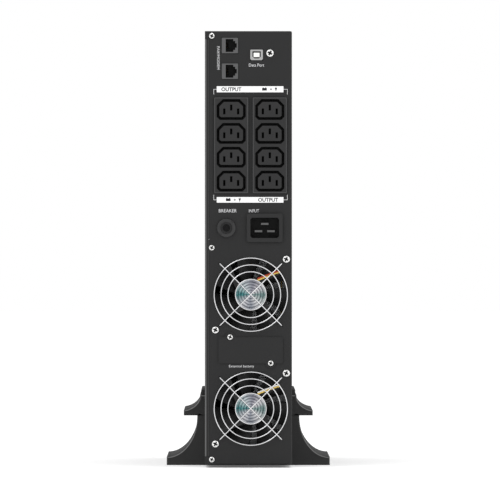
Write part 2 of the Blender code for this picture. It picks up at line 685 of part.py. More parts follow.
def make_signal_ports():
    board_front = JACK_DEPTH + FIT_GAP
    for name, z in zip(("modem_jack_upper", "modem_jack_lower"), JACK_Z):
        jack = rounded_block(name, span(JACK_X, JACK_FACE[0]), rear(-JACK_PROUD, JACK_DEPTH),
                             span(up(z), JACK_FACE[1]), 0.6 * MM, 1, 2)
        cut(jack, extruded(name + "_cavity", jack_opening(), rear(-JACK_PROUD - MM, JACK_CAVITY_DEPTH),
                           (JACK_X, up(z))))
        part(jack, "grey_plastic")

    x, z = SOCKET_AT
    place = (x, up(z))
    shell = extruded("data_socket_shell", rectangle(SOCKET_SHELL, (0.6 * MM, 1.2 * MM)),
                     rear(-SOCKET_PROUD, JACK_DEPTH), place)
    cut(shell, extruded("socket_mouth", rectangle(SOCKET_MOUTH, (0, SOCKET_CHAMFER)),
                        rear(-SOCKET_PROUD - MM, SOCKET_MOUTH_DEPTH), place))
    tongue_slot = [side + 2 * FIT_GAP for side in SOCKET_TONGUE]
    cut(shell, block("tongue_slot", span(x, tongue_slot[0]), rear(SOCKET_MOUTH_DEPTH - MM, JACK_DEPTH + MM),
                     span(place[1], tongue_slot[1])))
    part(shell, "nickel")
    part(block("data_socket_tongue", span(x, SOCKET_TONGUE[0]), rear(SOCKET_TONGUE_SHORT - SOCKET_PROUD, JACK_DEPTH),
               span(place[1], SOCKET_TONGUE[1])), "white_plastic")

    board = block("comm_board", COMM_BOARD_X, rear(board_front, board_front + BOARD_THICKNESS),
                  (up(COMM_BOARD_Z[0]), up(COMM_BOARD_Z[1])))
    part(board, "board_green")

    standoff = rod("comm_standoff", STANDOFF_RADIUS, (DATA_SCREW_AT[0], up(DATA_SCREW_AT[1])),
                   rear(SHEET + FIT_GAP, JACK_DEPTH), 6)
    cut(standoff, screw_hole("standoff_bore", SMALL_SHANK, DATA_SCREW_AT, rear(0, JACK_DEPTH - 3 * MM)))
    part(standoff, "brass")
    screw("data_screw", DATA_HEAD, SMALL_SHANK, 8 * MM, DATA_SCREW_AT)


def make_blank_plate():
    """A flat plate with a round ear at each screw, over the opening kept for a battery cable."""
    y = rear(-PLATE_THICKNESS - FIT_GAP, -FIT_GAP)
    plate = rounded_block("blank_plate", span(MIDDLE, PLATE_SIZE[0]), y, span(up(PLATE_Z), PLATE_SIZE[1]), 1.5 * MM, 1)
    ear_y = (y[0] + PLATE_EAR_STEP, y[1] - PLATE_EAR_STEP)
    for index, (x, z) in enumerate(PLATE_SCREWS):
        join(plate, rod(f"plate_ear_{index}", PLATE_EAR_RADIUS, (x, up(z)), ear_y, 20))
    holes = [screw_hole("plate_hole", SMALL_SHANK, place, rear(-3 * PLATE_THICKNESS, SHEET)) for place in PLATE_SCREWS]
    cut(plate, gather("plate_holes", holes))
    part(plate, "black_paint")
    for name, place in zip(("plate_screw_upper", "plate_screw_lower"), PLATE_SCREWS):
        screw(name, SMALL_HEAD, SMALL_SHANK, 7 * MM, place, PLATE_THICKNESS + FIT_GAP)


# Fans


def guard_leg_places():
    reach = GUARD_REACH / math.sqrt(2)
    return [(sx * reach, sz * reach) for sx in (-1, 1) for sz in (-1, 1)]


def polar(radius, degrees):
    return (radius * math.cos(math.radians(degrees)), radius * math.sin(math.radians(degrees)))


def strut(angle, y):
    """A bar from the motor's mount to the barrel, swept round as it goes out."""
    start = Vector(polar(FAN_MOUNT_RADIUS - 2 * MM, angle))
    end = Vector(polar(FAN_BORE_RADIUS + FAN_BARREL / 2, angle + FAN_STRUT_SWEEP))
    length = (end - start).length
    bar = block("strut", (0, length), span(0, y[1] - y[0]), span(0, FAN_STRUT[0]))
    turn = math.atan2(end[1] - start[1], end[0] - start[0])
    middle = (start + end) / 2
    bar.location = (FAN_X + middle[0], sum(y) / 2, middle[1])
    bar.rotation_euler = (0, -turn, 0)
    return bar


def lead_gate(which):
    """Where the lead leaves the barrel, across and up."""
    x, z = polar(FAN_BORE_RADIUS, FAN_STRUT_START + FAN_STRUT_SWEEP)
    return (FAN_X + x, up(FAN_Z[which]) + z)


def make_fan_frame(which):
    centre = (FAN_X, up(FAN_Z[which]))
    front = SHEET + FIT_GAP
    back = front + FAN_DEPTH
    x, z = span(centre[0], FAN_SIZE), span(centre[1], FAN_SIZE)
    frame = rounded_block(which + "_fan_frame", x, rear(front, back), z, 4 * MM, 1)
    cut(frame, rod(which + "_fan_bore", FAN_BORE_RADIUS, centre, rear(0, 2 * FAN_DEPTH), FAN_STEPS))
    waist = block(which + "_fan_waist", span(centre[0], 1.2 * FAN_SIZE), rear(front + FAN_FLANGE, back - FAN_FLANGE),
                  span(centre[1], 1.2 * FAN_SIZE))
    cut(waist, rod(which + "_fan_barrel", FAN_BORE_RADIUS + FAN_BARREL, centre, rear(0, 2 * FAN_DEPTH), FAN_STEPS))
    cut(frame, waist)

    mount = front + FAN_MOUNT_SINK
    join(frame, rod(which + "_fan_mount", FAN_MOUNT_RADIUS, centre, rear(mount, mount + FAN_MOUNT_DEPTH), 20))
    bar_y = rear(mount + FAN_MOUNT_DEPTH - FAN_STRUT[1], mount + FAN_MOUNT_DEPTH - 0.1 * MM)
    bars = []
    for index in range(FAN_STRUTS):
        bar = strut(FAN_STRUT_START + index * 360 / FAN_STRUTS, bar_y)
        bar.location.z += centre[1]
        bars.append(bar)
    join(frame, gather(which + "_fan_struts", bars))
    cut(frame, rod(which + "_shaft_bore", FAN_SHAFT_RADIUS + FIT_GAP, centre,
                   rear(mount + MM, mount + 2 * FAN_MOUNT_DEPTH), 12))

    reach = FAN_HOLE_PITCH / 2
    holes = [rod("corner_hole", LARGE_SHANK + FIT_GAP, (centre[0] + sx * reach, centre[1] + sz * reach),
                 rear(0, 2 * FAN_DEPTH), SCREW_STEPS) for sx in (-1, 1) for sz in (-1, 1)]
    cut(frame, gather(which + "_corner_holes", holes))

    gate_x, gate_z = lead_gate(which)
    room = LEAD_RADIUS + 2 * FIT_GAP
    cut(frame, block(which + "_lead_gate", (gate_x - 4 * MM, gate_x + 5 * MM), rear(0, front + FAN_FLANGE + MM),
                     span(gate_z + MM, 2 * room + 2 * MM)))
    cut(frame, block(which + "_lead_notch", (gate_x + 2 * MM, gate_x + 5 * MM + room), rear(back - 2 * FAN_FLANGE, back + MM),
                     span(gate_z + MM, 2 * room + 2 * MM)))
    return part(frame, "black_plastic")


def make_rotor(which):
    """A hub with swept blades, turning on its shaft about the fan's axis."""
    centre = (FAN_X, up(FAN_Z[which]))
    mount_back = SHEET + FIT_GAP + FAN_MOUNT_SINK + FAN_MOUNT_DEPTH
    hub_y = rear(mount_back + FIT_GAP, mount_back + FIT_GAP + FAN_HUB_DEPTH)
    hub = rod(which + "_fan_rotor", FAN_HUB_RADIUS, centre, hub_y, 16)
    bm = bmesh.new()
    bmesh.ops.create_grid(bm, x_segments=3, y_segments=2, size=0.5)
    root, tip = FAN_HUB_RADIUS - MM, FAN_BORE_RADIUS - FAN_TIP_CLEARANCE
    for vert in bm.verts:
        along, across = vert.co.x + 0.5, vert.co.y
        x, z = polar(root + (tip - root) * along, FAN_BLADE_SPAN * (across - 0.25 * along))
        vert.co = (x, -FAN_BLADE_HEIGHT * across, z)
    blade = bm.copy()
    whole = bmesh.new()
    for index in range(FAN_BLADES):
        before = set(whole.verts)
        mesh = bpy.data.meshes.new("blade")
        blade.to_mesh(mesh)
        whole.from_mesh(mesh)
        bpy.data.meshes.remove(mesh)
        added = [v for v in whole.verts if v not in before]
        turn = Matrix.Rotation(index * 2 * math.pi / FAN_BLADES, 3, "Y")
        bmesh.ops.rotate(whole, verts=added, cent=(0, 0, 0), matrix=turn)
    bm.free()
    blade.free()
    bmesh.ops.recalc_face_normals(whole, faces=whole.faces)
    blades = to_object(which + "_blades", whole, (centre[0], sum(hub_y) / 2, centre[1]))
    solidify = blades.modifiers.new("blade", "SOLIDIFY")
    solidify.thickness = FAN_BLADE
    solidify.offset = 0
    join(hub, blades)
    join(hub, rod(which + "_shaft", FAN_SHAFT_RADIUS, centre, (hub_y[0] - FAN_MOUNT_DEPTH + 1.5 * MM, hub_y[0] + MM), 12))
    return part(hub, "black_plastic")


def make_guard(which):
    """Two crossing wires with their ends turned into the panel, and rings welded over them."""
    centre = (FAN_X, up(FAN_Z[which]))
    level = REAR - GUARD_PROUD
    reach = GUARD_REACH / math.sqrt(2)
    bars = []
    for sx in (-1, 1):
        corner = Vector((sx * reach, reach))
        bend = corner * (1 - 1.2 * MM / GUARD_REACH)
        route = [(corner[0], REAR + GUARD_LEG, corner[1]), (corner[0], level + 1.2 * MM, corner[1]),
                 (bend[0], level, bend[1])]
        route += [(-a, b, -c) for a, b, c in reversed(route)]
        bars.append(wire("bar", [(centre[0] + a, b, centre[1] + c) for a, b, c in route], GUARD_WIRE / 2))
    guard, other = bars
    guard.name = guard.data.name = which + "_fan_guard"
    other.name = which + "_guard_bar"
    join(guard, other)
    for index, diameter in enumerate(GUARD_RING_DIAMETERS):
        bpy.ops.mesh.primitive_torus_add(major_segments=GUARD_STEPS, minor_segments=4, major_radius=diameter / 2,
                                         minor_radius=GUARD_WIRE / 2, rotation=(math.radians(90), 0, 0),
                                         location=(centre[0], level - GUARD_RING_LIFT, centre[1]))
        ring = bpy.context.object
        ring.name = f"{which}_guard_ring_{index}"
        for collection in list(ring.users_collection):
            collection.objects.unlink(ring)
        TOOLS.objects.link(ring)
        join(guard, ring)
    return part(guard, "chrome_wire")


def make_leads(which, material):
    """The fan's lead, from the motor's mount over a strut, through the barrel and on to the main board."""
    centre = (FAN_X, up(FAN_Z[which]))
    gate_x, gate_z = lead_gate(which)
    start = polar(FAN_MOUNT_RADIUS + LEAD_RADIUS + FIT_GAP, FAN_STRUT_START)
    over_strut = REAR + SHEET + FIT_GAP + FAN_MOUNT_SINK + FAN_MOUNT_DEPTH - FAN_STRUT[1] - LEAD_RADIUS - FIT_GAP
    behind_fan = REAR + SHEET + FIT_GAP + FAN_DEPTH
    turn_x = gate_x + 3.4 * MM
    board_x = SIDE - SHEET - BOARD_OFF_WALL - BOARD_THICKNESS - FIT_GAP - LEAD_RADIUS
    lane = 0 if which == "upper" else LEAD_LANE
    board_y = REAR + BOARD_Y[0] + LEAD_LANE + lane
    board_z = up(BOARD_Z[0]) + LEAD_LANE
    route = [(centre[0] + start[0], over_strut, centre[1] + start[1]),
             (gate_x - 8 * MM, over_strut, gate_z - 1.6 * MM),
             (gate_x - MM, over_strut, gate_z + 0.4 * MM),
             (turn_x, over_strut + 3.2 * MM, gate_z + MM),
             (turn_x, over_strut + 12 * MM, gate_z + MM),
             (turn_x, behind_fan + 2 * MM, gate_z + MM),
             (turn_x - 2 * MM, behind_fan + 9 * MM + lane, gate_z + 8 * MM),
             (board_x - 2 * MM, board_y - 8 * MM, board_z - 12 * MM),
             (board_x, board_y, board_z)]
    return part(wire(which + "_fan_leads", smooth_route(route, 3), LEAD_RADIUS), material)


def make_fans():
    for which, lead in (("upper", "red_wire"), ("lower", "yellow_wire")):
        make_fan_frame(which)
        make_rotor(which)
        make_guard(which)
        make_leads(which, lead)
        for name, place in fan_screw_places(which).items():
            screw(name, LARGE_HEAD, LARGE_SHANK, 9 * MM, place)


# Power section


def make_power_section():
    board_x = SIDE - SHEET - BOARD_OFF_WALL
    y = rear(*BOARD_Y)
    z = (up(BOARD_Z[0]), up(BOARD_Z[1]))
    board = block("main_board", (board_x - BOARD_THICKNESS, board_x), y, z)
    posts = []
    inset = 8 * MM
    for py in (y[0] + inset, y[1] - inset):
        for pz in (z[0] + inset, z[1] - inset):
            posts.append(block("post", (board_x - BOARD_THICKNESS / 2, SIDE - SHEET - FIT_GAP),
                               span(py, STANDOFF_RADIUS * 2), span(pz, STANDOFF_RADIUS * 2)))
    join(board, gather("board_posts", posts))
    part(board, "board_green")

    seat = board_x - BOARD_THICKNESS - FIT_GAP
    low, high = up(HEATSINK_Z[0]), up(HEATSINK_Z[1])
    pitch = (high - low - HEATSINK_FIN) / (HEATSINK_FINS - 1)
    outline = [(seat, low), (seat, high)]
    for index in reversed(range(HEATSINK_FINS)):
        fin = low + index * pitch
        tip, root = seat - HEATSINK_HEIGHT, seat - HEATSINK_BASE
        if index < HEATSINK_FINS - 1:
            outline.append((root, fin + HEATSINK_FIN))
        outline += [(tip, fin + HEATSINK_FIN), (tip, fin)]
        if index > 0:
            outline.append((root, fin))
    part(extruded("heatsink", outline, rear(*HEATSINK_Y)), "aluminium")

    across, deep, tall = CORE_SIZE
    y, z = REAR + CORE_AT[0], up(CORE_AT[1])
    core = block("transformer", (seat - across, seat), span(y, deep), span(z, tall))
    coil_x = span(seat - across / 2, COIL_SIZE[0])
    join(core, rounded_block("transformer_coil", coil_x, span(y, COIL_SIZE[1]), span(z, COIL_SIZE[2]), 6 * MM, 0))
    part(core, "iron")


# Front


def vent_slots(name, lowest, count):
    slots = [block("vent", span(0, VENT_SLOT[0]), (FRONT - 2 * BEZEL_WALL, FRONT + BEZEL_WALL),
                   span(lowest + index * VENT_PITCH, VENT_SLOT[1])) for index in range(count)]
    return gather(name, slots)


def make_bezel():
    bezel = folded_sheet("front_bezel", (-SIDE, SIDE), (BEZEL_BACK, FRONT), (SPLIT + FIT_GAP, up(BODY_HEIGHT)),
                         ("-Y",), BEZEL_RADIUS, BEZEL_WALL, sharp=("-Z",))
    centre = (0, up(DISPLAY_Z))
    cut(bezel, rod("display_hole", DISPLAY_RADIUS + FIT_GAP, centre, (FRONT - 2 * BEZEL_WALL, FRONT + BEZEL_WALL), 36))
    cut(bezel, vent_slots("bezel_vents", SPLIT + VENT_MARGIN, BEZEL_VENTS))
    return part(bezel, "black_plastic")


def make_display():
    centre = (0, FRONT, up(DISPLAY_Z))
    pivot = bpy.data.objects.new("display_pivot", None)
    pivot.location = centre
    PARTS.objects.link(pivot)
    lip = BEZEL_WALL + FIT_GAP
    profile = [(0, 0), (DISPLAY_RADIUS, 0), (DISPLAY_RADIUS, -lip), (DISPLAY_RADIUS + DISPLAY_LIP, -lip),
               (DISPLAY_RADIUS + DISPLAY_LIP, -DISPLAY_THICKNESS), (0, -DISPLAY_THICKNESS)]
    table = turned("display_turntable", profile, centre, outward=1, steps=36)
    screen_z = centre[2] + SCREEN_UP
    cut(table, block("screen_recess", span(0, SCREEN_SIZE[0] + 2 * FIT_GAP), (FRONT - SCREEN_SINK, FRONT + MM),
                     span(screen_z, SCREEN_SIZE[1] + 2 * FIT_GAP)))
    screen = block("display_screen", span(0, SCREEN_SIZE[0]), (FRONT - SCREEN_SINK + FIT_GAP, FRONT - FIT_GAP),
                   span(screen_z, SCREEN_SIZE[1]))
    moving = [part(screen, "screen")]
    button_z = centre[2] - BUTTON_DOWN
    holes = []
    back = DISPLAY_THICKNESS + FIT_GAP
    for index, name in enumerate(BUTTON_NAMES):
        x = (index - (len(BUTTON_NAMES) - 1) / 2) * BUTTON_PITCH
        holes.append(rod("button_hole", BUTTON_RADIUS + FIT_GAP, (x, button_z), (FRONT - 2 * DISPLAY_THICKNESS, FRONT + MM),
                         12))
        profile = [(0, BUTTON_PROUD), (BUTTON_RADIUS * 0.8, BUTTON_PROUD), (BUTTON_RADIUS, BUTTON_PROUD * 0.6),
                   (BUTTON_RADIUS, -back), (BUTTON_RADIUS + BUTTON_LIP, -back),
                   (BUTTON_RADIUS + BUTTON_LIP, -back - BUTTON_LIP), (0, -back - BUTTON_LIP)]
        moving.append(part(turned(name, profile, (x, FRONT, button_z), outward=1, steps=12), "grey_plastic"))
    cut(table, gather("button_holes", holes))
    moving.append(part(table, "black_plastic"))
    bpy.context.view_layer.update()
    for obj in moving:
        place = obj.matrix_world.copy()
        obj.parent = pivot
        obj.matrix_world = place

    ring_y = (FRONT - back - 2 * MM, FRONT - back)
    ring = rod("display_retainer", DISPLAY_RADIUS + 2 * DISPLAY_LIP - MM, (0, centre[2]), ring_y, 24)
    cut(ring, rod("retainer_bore", DISPLAY_RADIUS + DISPLAY_LIP - RETAINER_WALL, (0, centre[2]),
                  (ring_y[0] - MM, ring_y[1] + MM), 24))
    part(ring, "black_plastic")


def make_battery_drawer():
    across, deep, tall = BATTERY
    floor_x = SIDE - SHEET - TRAY_CLEARANCE
    inside_y = 2 * deep + 3 * BATTERY_GAP
    inside_z = 2 * tall + 3 * BATTERY_GAP
    y = (BEZEL_BACK - FIT_GAP - 2 * SHEET - inside_y, BEZEL_BACK - FIT_GAP)
    z = span(up((BAY_HEIGHT - 3 * SHEET + SHEET) / 2), inside_z + 2 * SHEET)
    slide = bpy.data.objects.new("drawer_slide", None)
    slide.location = (0, y[0], z[0])
    PARTS.objects.link(slide)
    tray = folded_sheet("battery_tray", (floor_x - TRAY_WALL_HEIGHT, floor_x), y, z, ("-X",), BEND_RADIUS, SHEET)
    moving = [part(tray, "zinc")]

    door = folded_sheet("battery_door", (-SIDE, SIDE), (BEZEL_BACK, FRONT), (up(0), SPLIT - FIT_GAP),
                        ("-Y",), BEZEL_RADIUS, BEZEL_WALL, sharp=("+Z",))
    cut(door, vent_slots("door_vents", up(VENT_MARGIN), DOOR_VENTS))
    moving.append(part(door, "black_plastic"))

    top_x = floor_x - SHEET - BATTERY_GAP - across
    number = 0
    for row in range(2):
        for column in range(2):
            number += 1
            low_y = y[0] + SHEET + BATTERY_GAP + row * (deep + BATTERY_GAP)
            low_z = z[0] + SHEET + BATTERY_GAP + column * (tall + BATTERY_GAP)
            case_z = (low_z, low_z + tall - TERMINAL[2])
            battery = rounded_block(f"battery_{number}", (top_x, top_x + across), (low_y, low_y + deep), case_z,
                                    2 * MM, 2)
            for end in (low_y + 2 * TERMINAL[1], low_y + deep - 2 * TERMINAL[1]):
                join(battery, block(f"battery_{number}_terminal", span(top_x + across / 4, TERMINAL[0]),
                                    span(end, TERMINAL[1]), (case_z[1] - MM, case_z[1] + TERMINAL[2])))
            moving.append(part(battery, "grey_plastic"))
    bpy.context.view_layer.update()
    for obj in moving:
        place = obj.matrix_world.copy()
        obj.parent = slide
        obj.matrix_world = place


# Feet


def arch(left, bottom, width, height, steps):
    """A quarter of an ellipse, from its upright end at the left down to its level end at the right."""
    points = []
    for step in range(steps + 1):
        angle = math.pi + step / steps * math.pi / 2
        points.append((left + width + width * math.cos(angle), bottom + height + height * math.sin(angle)))
    return points


def foot_outline():
    """The right foot from behind: floor, toe, hollow side, wing and upright."""
    inner = SIDE + FIT_GAP
    toe = arch(WALL_REACH, TOE_HEIGHT, TOE_REACH - WALL_REACH, TOE_ARCH_TOP - TOE_HEIGHT, ARCH_STEPS)
    wing_bottom = TOE_ARCH_TOP + WING_TIP_HEIGHT
    wing = arch(WING_ROOT, wing_bottom, WING_ARCH_WIDTH, WING_ARCH_TOP - wing_bottom, ARCH_STEPS)
    wing = [(x, z) for x, z in wing if x < WING_REACH]
    return [(FIT_GAP / 2, 0), (TOE_REACH, 0), *reversed(toe), (WING_REACH, TOE_ARCH_TOP), (WING_REACH, wing_bottom),
            *reversed(wing), (inner, WING_ARCH_TOP), (inner, FOOT_FLOOR), (FIT_GAP / 2, FOOT_FLOOR)]


def make_foot(name, y, mirrored):
    side = -1 if mirrored else 1
    outline = [(side * x, z) for x, z in foot_outline()]
    foot = extruded(name, outline, y)
    bm = bmesh.new()
    bm.from_mesh(foot.data)
    rim = [e for e in bm.edges if abs(e.verts[0].co.z - e.verts[1].co.z) < FIT_GAP
           and e.calc_face_angle(0) > math.radians(60)]
    bmesh.ops.bevel(bm, geom=rim, offset=FOOT_ROUNDING, segments=2, profile=0.5, affect="EDGES")
    bm.to_mesh(foot.data)
    bm.free()
    clip_x = sorted((side * (SIDE + FIT_GAP), side * CLIP_REACH))
    join(foot, block(name + "_clip", clip_x, (y[0] + CLIP_INSET, y[1] - CLIP_INSET), (TOE_ARCH_TOP, CLIP_TOP)))
    return part(foot, "foot_plastic")


def make_feet():
    y = rear(FOOT_INSET, FOOT_INSET + FOOT_DEPTH)
    make_foot("tower_foot_left", y, True)
    make_foot("tower_foot_right", y, False)


clear_scene()
PARTS = new_collection("rackmount_ups")
TOOLS = new_collection("cutters")
MATERIALS = make_materials()

make_chassis()
make_side_cover()
make_rear_panel()
make_bay_divider()
make_panel_screws()
make_outlet_block("outlet_block_left", OUTLET_X[0])
make_outlet_block("outlet_block_right", OUTLET_X[1])
make_inlet()
make_breaker()
make_signal_ports()
make_blank_plate()
make_fans()
make_power_section()
make_bezel()
make_display()
make_battery_drawer()
make_feet()
hide_tools()
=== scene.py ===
import json
import math

import bmesh
import bpy
from mathutils import Matrix, Vector


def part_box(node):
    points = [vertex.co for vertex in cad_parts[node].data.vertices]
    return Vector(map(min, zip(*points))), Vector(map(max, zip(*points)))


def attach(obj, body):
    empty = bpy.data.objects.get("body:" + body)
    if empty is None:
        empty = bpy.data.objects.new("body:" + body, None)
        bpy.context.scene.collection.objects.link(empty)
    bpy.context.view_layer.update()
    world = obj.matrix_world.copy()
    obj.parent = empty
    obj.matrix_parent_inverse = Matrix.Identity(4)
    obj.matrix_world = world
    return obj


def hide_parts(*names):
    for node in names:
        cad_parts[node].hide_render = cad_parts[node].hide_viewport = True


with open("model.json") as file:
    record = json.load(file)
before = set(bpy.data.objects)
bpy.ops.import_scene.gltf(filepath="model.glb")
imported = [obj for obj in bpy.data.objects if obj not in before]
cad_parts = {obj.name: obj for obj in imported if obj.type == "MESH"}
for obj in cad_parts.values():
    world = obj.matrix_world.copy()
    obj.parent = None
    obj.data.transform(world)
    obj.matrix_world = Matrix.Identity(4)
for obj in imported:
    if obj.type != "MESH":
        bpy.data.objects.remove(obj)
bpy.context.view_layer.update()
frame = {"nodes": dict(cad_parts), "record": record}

mm = 0.001

# places that everything else is worked out from
panelLow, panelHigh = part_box("rear_panel")
rearFace = panelLow.y
bodyBase = panelLow.z


def middle(node):
    low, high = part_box(node)
    return (low + high) / 2


# ---- shader helpers


class Value:
    # a shader value that can be added and multiplied like a number
    def __init__(self, finish, socket):
        self.finish = finish
        self.socket = socket

    def combine(self, operation, first, second):
        return self.finish.combine(operation, first, second)

    def __add__(self, other):
        return self.combine("ADD", self, other)

    def __sub__(self, other):
        return self.combine("SUBTRACT", self, other)

    def __rsub__(self, other):
        return self.combine("SUBTRACT", other, self)

    def __mul__(self, other):
        return self.combine("MULTIPLY", self, other)

    __radd__ = __add__
    __rmul__ = __mul__


class Finish:
    def __init__(self, name, roughness=0.5, metallic=0.0, **constants):
        self.material = bpy.data.materials.new(name)
        self.material.use_nodes = True
        self.tree = self.material.node_tree
        self.shader = self.tree.nodes["Principled BSDF"]
        self.shader.inputs["Roughness"].default_value = roughness
        self.shader.inputs["Metallic"].default_value = metallic
        for name, value in constants.items():
            self.shader.inputs[name.replace("_", " ")].default_value = value
        self.place = self.node("ShaderNodeTexCoord", output="Object")

    def node(self, kind, settings=None, inputs=None, output=0):
        made = self.tree.nodes.new(kind)
        for key, value in (settings or {}).items():
            if key == "stops":
                for element, (position, colour) in zip(made.color_ramp.elements, value):
                    element.position = position
                    element.color = colour
            else:
                setattr(made, key, value)
        pairs = inputs.items() if isinstance(inputs, dict) else enumerate(inputs or [])
        for key, value in pairs:
            if isinstance(value, Value):
                self.tree.links.new(value.socket, made.inputs[key])
            else:
                made.inputs[key].default_value = value
        return Value(self, made.outputs[output])

    def combine(self, operation, first, second):
        return self.node("ShaderNodeMath", {"operation": operation}, [first, second])

    def feed(self, name, value):
        self.tree.links.new(value.socket, self.shader.inputs[name])

    def noise(self, scale, detail=2.0, roughness=0.5):
        return self.node("ShaderNodeTexNoise", inputs={"Vector": self.place, "Scale": scale, "Detail": detail,
                                                       "Roughness": roughness})

    def painted_recess_shade(self, start, length):
        # painted shade: 1 at the panel, falling to 0 inside the recesses behind it
        depth = self.node("ShaderNodeSeparateXYZ", inputs={"Vector": self.place}, output="Y")
        return self.node("ShaderNodeMapRange", inputs={"Value": depth, "From Min": start, "From Max": start + length,
                                                       "To Min": 1.0, "To Max": 0.0})

    def tint(self, mask, dark, light, recess_shade=None):
        # a colour that runs from dark to light with the mask, and to a painted black shade down the recess
        colour = self.node("ShaderNodeValToRGB", {"stops": [(0.3, (*dark, 1)), (0.7, (*light, 1))]}, {"Fac": mask})
        if recess_shade:
            colour = self.node("ShaderNodeMixRGB", inputs={"Fac": self.painted_recess_shade(*recess_shade), "Color2": colour,
                                                           "Color1": (0.001, 0.001, 0.001, 1)})
        self.feed("Base Color", colour)

    def bump(self, height, strength, distance):
        bump = self.node("ShaderNodeBump", inputs={"Height": height, "Strength": strength, "Distance": distance})
        self.feed("Normal", bump)


def grey(level):
    return (level, level, level * 1.02)


def spread(colour, share):
    return [tuple(channel * (1 + side * share) for channel in colour) for side in (-1, 1)]


def powderCoat(name, colour, roughness):
    finish = Finish(name, Specular_IOR_Level=0.2)
    pebbles = finish.noise(2600, 2)
    drift = finish.noise(14, 3)
    finish.tint(drift * 0.6 + pebbles * 0.4, *spread(colour, 0.1))
    finish.feed("Roughness", roughness - 0.06 + pebbles * 0.12)
    finish.bump(pebbles, 0.35, 0.00012)
    return finish.material


def moulded(name, colour, roughness, grain=1800, depth=0.00006, specular=0.22, recess_shade=None):
    finish = Finish(name, Specular_IOR_Level=specular)
    texture = finish.noise(grain, 3, 0.6)
    flow = finish.noise(30, 2)
    finish.tint(flow, *spread(colour, 0.08), recess_shade)
    finish.feed("Roughness", roughness - 0.05 + texture * 0.1)
    finish.bump(texture, 0.4, depth)
    return finish.material


def footPlastic(name, colour):
    # faces stay dark while the rounded rear edges get a painted highlight and the upward faces a painted shade; the
    # grain is the plastic's own
    finish = Finish(name, Specular_IOR_Level=0.08)
    facing = finish.node("ShaderNodeNewGeometry", output="Normal")
    back = finish.node("ShaderNodeSeparateXYZ", inputs={"Vector": facing}, output="Y")
    up = finish.node("ShaderNodeSeparateXYZ", inputs={"Vector": facing}, output="Z")
    # rounded edges that face back and up, where the painted highlight goes
    edge = finish.node("ShaderNodeMapRange", inputs={"Value": finish.combine("ABSOLUTE", back + 0.62, 0.0),
                                                     "From Min": 0.1, "From Max": 0.34, "To Min": 1.0, "To Max": 0.0})
    top = finish.node("ShaderNodeMapRange", inputs={"Value": up, "From Min": 0.0, "From Max": 0.4})
    grain = finish.noise(1500, 3, 0.6)
    painted_edge_highlight = edge * top
    # upward faces darkened as painted shade, rounded edges lightened as painted highlight
    level = colour * (0.92 + grain * 0.16) * (1 - top * 0.45) + painted_edge_highlight * 0.17
    finish.feed("Base Color", finish.node("ShaderNodeCombineXYZ", inputs={"X": level, "Y": level, "Z": level}))
    finish.feed("Roughness", 0.6 + grain * 0.1)
    finish.bump(grain, 0.4, 0.00006)
    return finish.material


def coverPaintAndHighlight(name, colour):
    # painted highlight on the cover's turned edge: lighter at its outer bend and along its seam
    finish = Finish(name, Specular_IOR_Level=0.2)
    across = finish.node("ShaderNodeSeparateXYZ", inputs={"Vector": finish.place}, output="X")
    bend = finish.node("ShaderNodeMapRange", inputs={"Value": across, "From Min": panelLow.x - 0.1 * mm,
                                                     "From Max": panelLow.x + 2.0 * mm, "To Min": 0.17, "To Max": 0.0})
    seam_highlight = finish.node("ShaderNodeMapRange", inputs={"Value": across, "From Min": panelLow.x + 3.3 * mm,
                                                     "From Max": panelLow.x + 3.9 * mm, "To Min": 0.0, "To Max": 0.045})
    facing = finish.node("ShaderNodeNewGeometry", output="Normal")
    back = finish.node("ShaderNodeSeparateXYZ", inputs={"Vector": facing}, output="Y")
    rear = finish.node("ShaderNodeMapRange", inputs={"Value": back, "From Min": -0.3, "From Max": -0.8})
    pebbles = finish.noise(2600, 2)
    # the bend and seam masks add painted highlight to the rear-facing faces
    level = colour * (0.9 + pebbles * 0.2) + (bend + seam_highlight) * rear
    finish.feed("Base Color", finish.node("ShaderNodeCombineXYZ", inputs={"X": level, "Y": level, "Z": level}))
    finish.feed("Roughness", 0.49 + pebbles * 0.12)
    finish.bump(pebbles, 0.35, 0.00012)
    return finish.material


def plated(name, colour, roughness, wear=0.1, recess_shade=None):
    finish = Finish(name, metallic=1.0)
    haze = finish.noise(160, 4, 0.6)
    finish.tint(haze, *spread(colour, 0.06), recess_shade)
    finish.feed("Roughness", roughness - wear / 2 + haze * wear)
    finish.bump(finish.noise(900, 2), 0.15, 0.00004)
    return finish.material


def brushedMetal(name, colour, roughness, stretch):
    # fine scratches that run along the short axis of the stretch
    finish = Finish(name, metallic=1.0)
    along = finish.node("ShaderNodeMapping", inputs={"Vector": finish.place, "Scale": stretch})
    lines = finish.node("ShaderNodeTexNoise", inputs={"Vector": along, "Scale": 40.0, "Detail": 3.0})
    finish.tint(lines, *spread(colour, 0.12))
    finish.feed("Roughness", roughness - 0.08 + lines * 0.16)
    finish.bump(lines, 0.2, 0.00005)
    return finish.material


def printed(name, colour):
    finish = Finish(name, Specular_IOR_Level=0.2)
    edge = finish.noise(1500, 2)
    finish.tint(edge, *spread(colour, 0.03))
    finish.feed("Roughness", 0.55 + edge * 0.1)
    return finish.material


def boardFinish(name):
    # solder mask with copper tracks just under it
    finish = Finish(name, Coat_Weight=0.2)
    grid = finish.node("ShaderNodeTexBrick", inputs={"Vector": finish.place, "Scale": 260.0,
                                                     "Color1": (0.01, 0.09, 0.04, 1), "Color2": (0.015, 0.13, 0.055, 1),
                                                     "Mortar": (0.03, 0.2, 0.08, 1)})
    finish.feed("Base Color", grid)
    finish.feed("Roughness", 0.35 + finish.noise(400) * 0.15)
    return finish.material


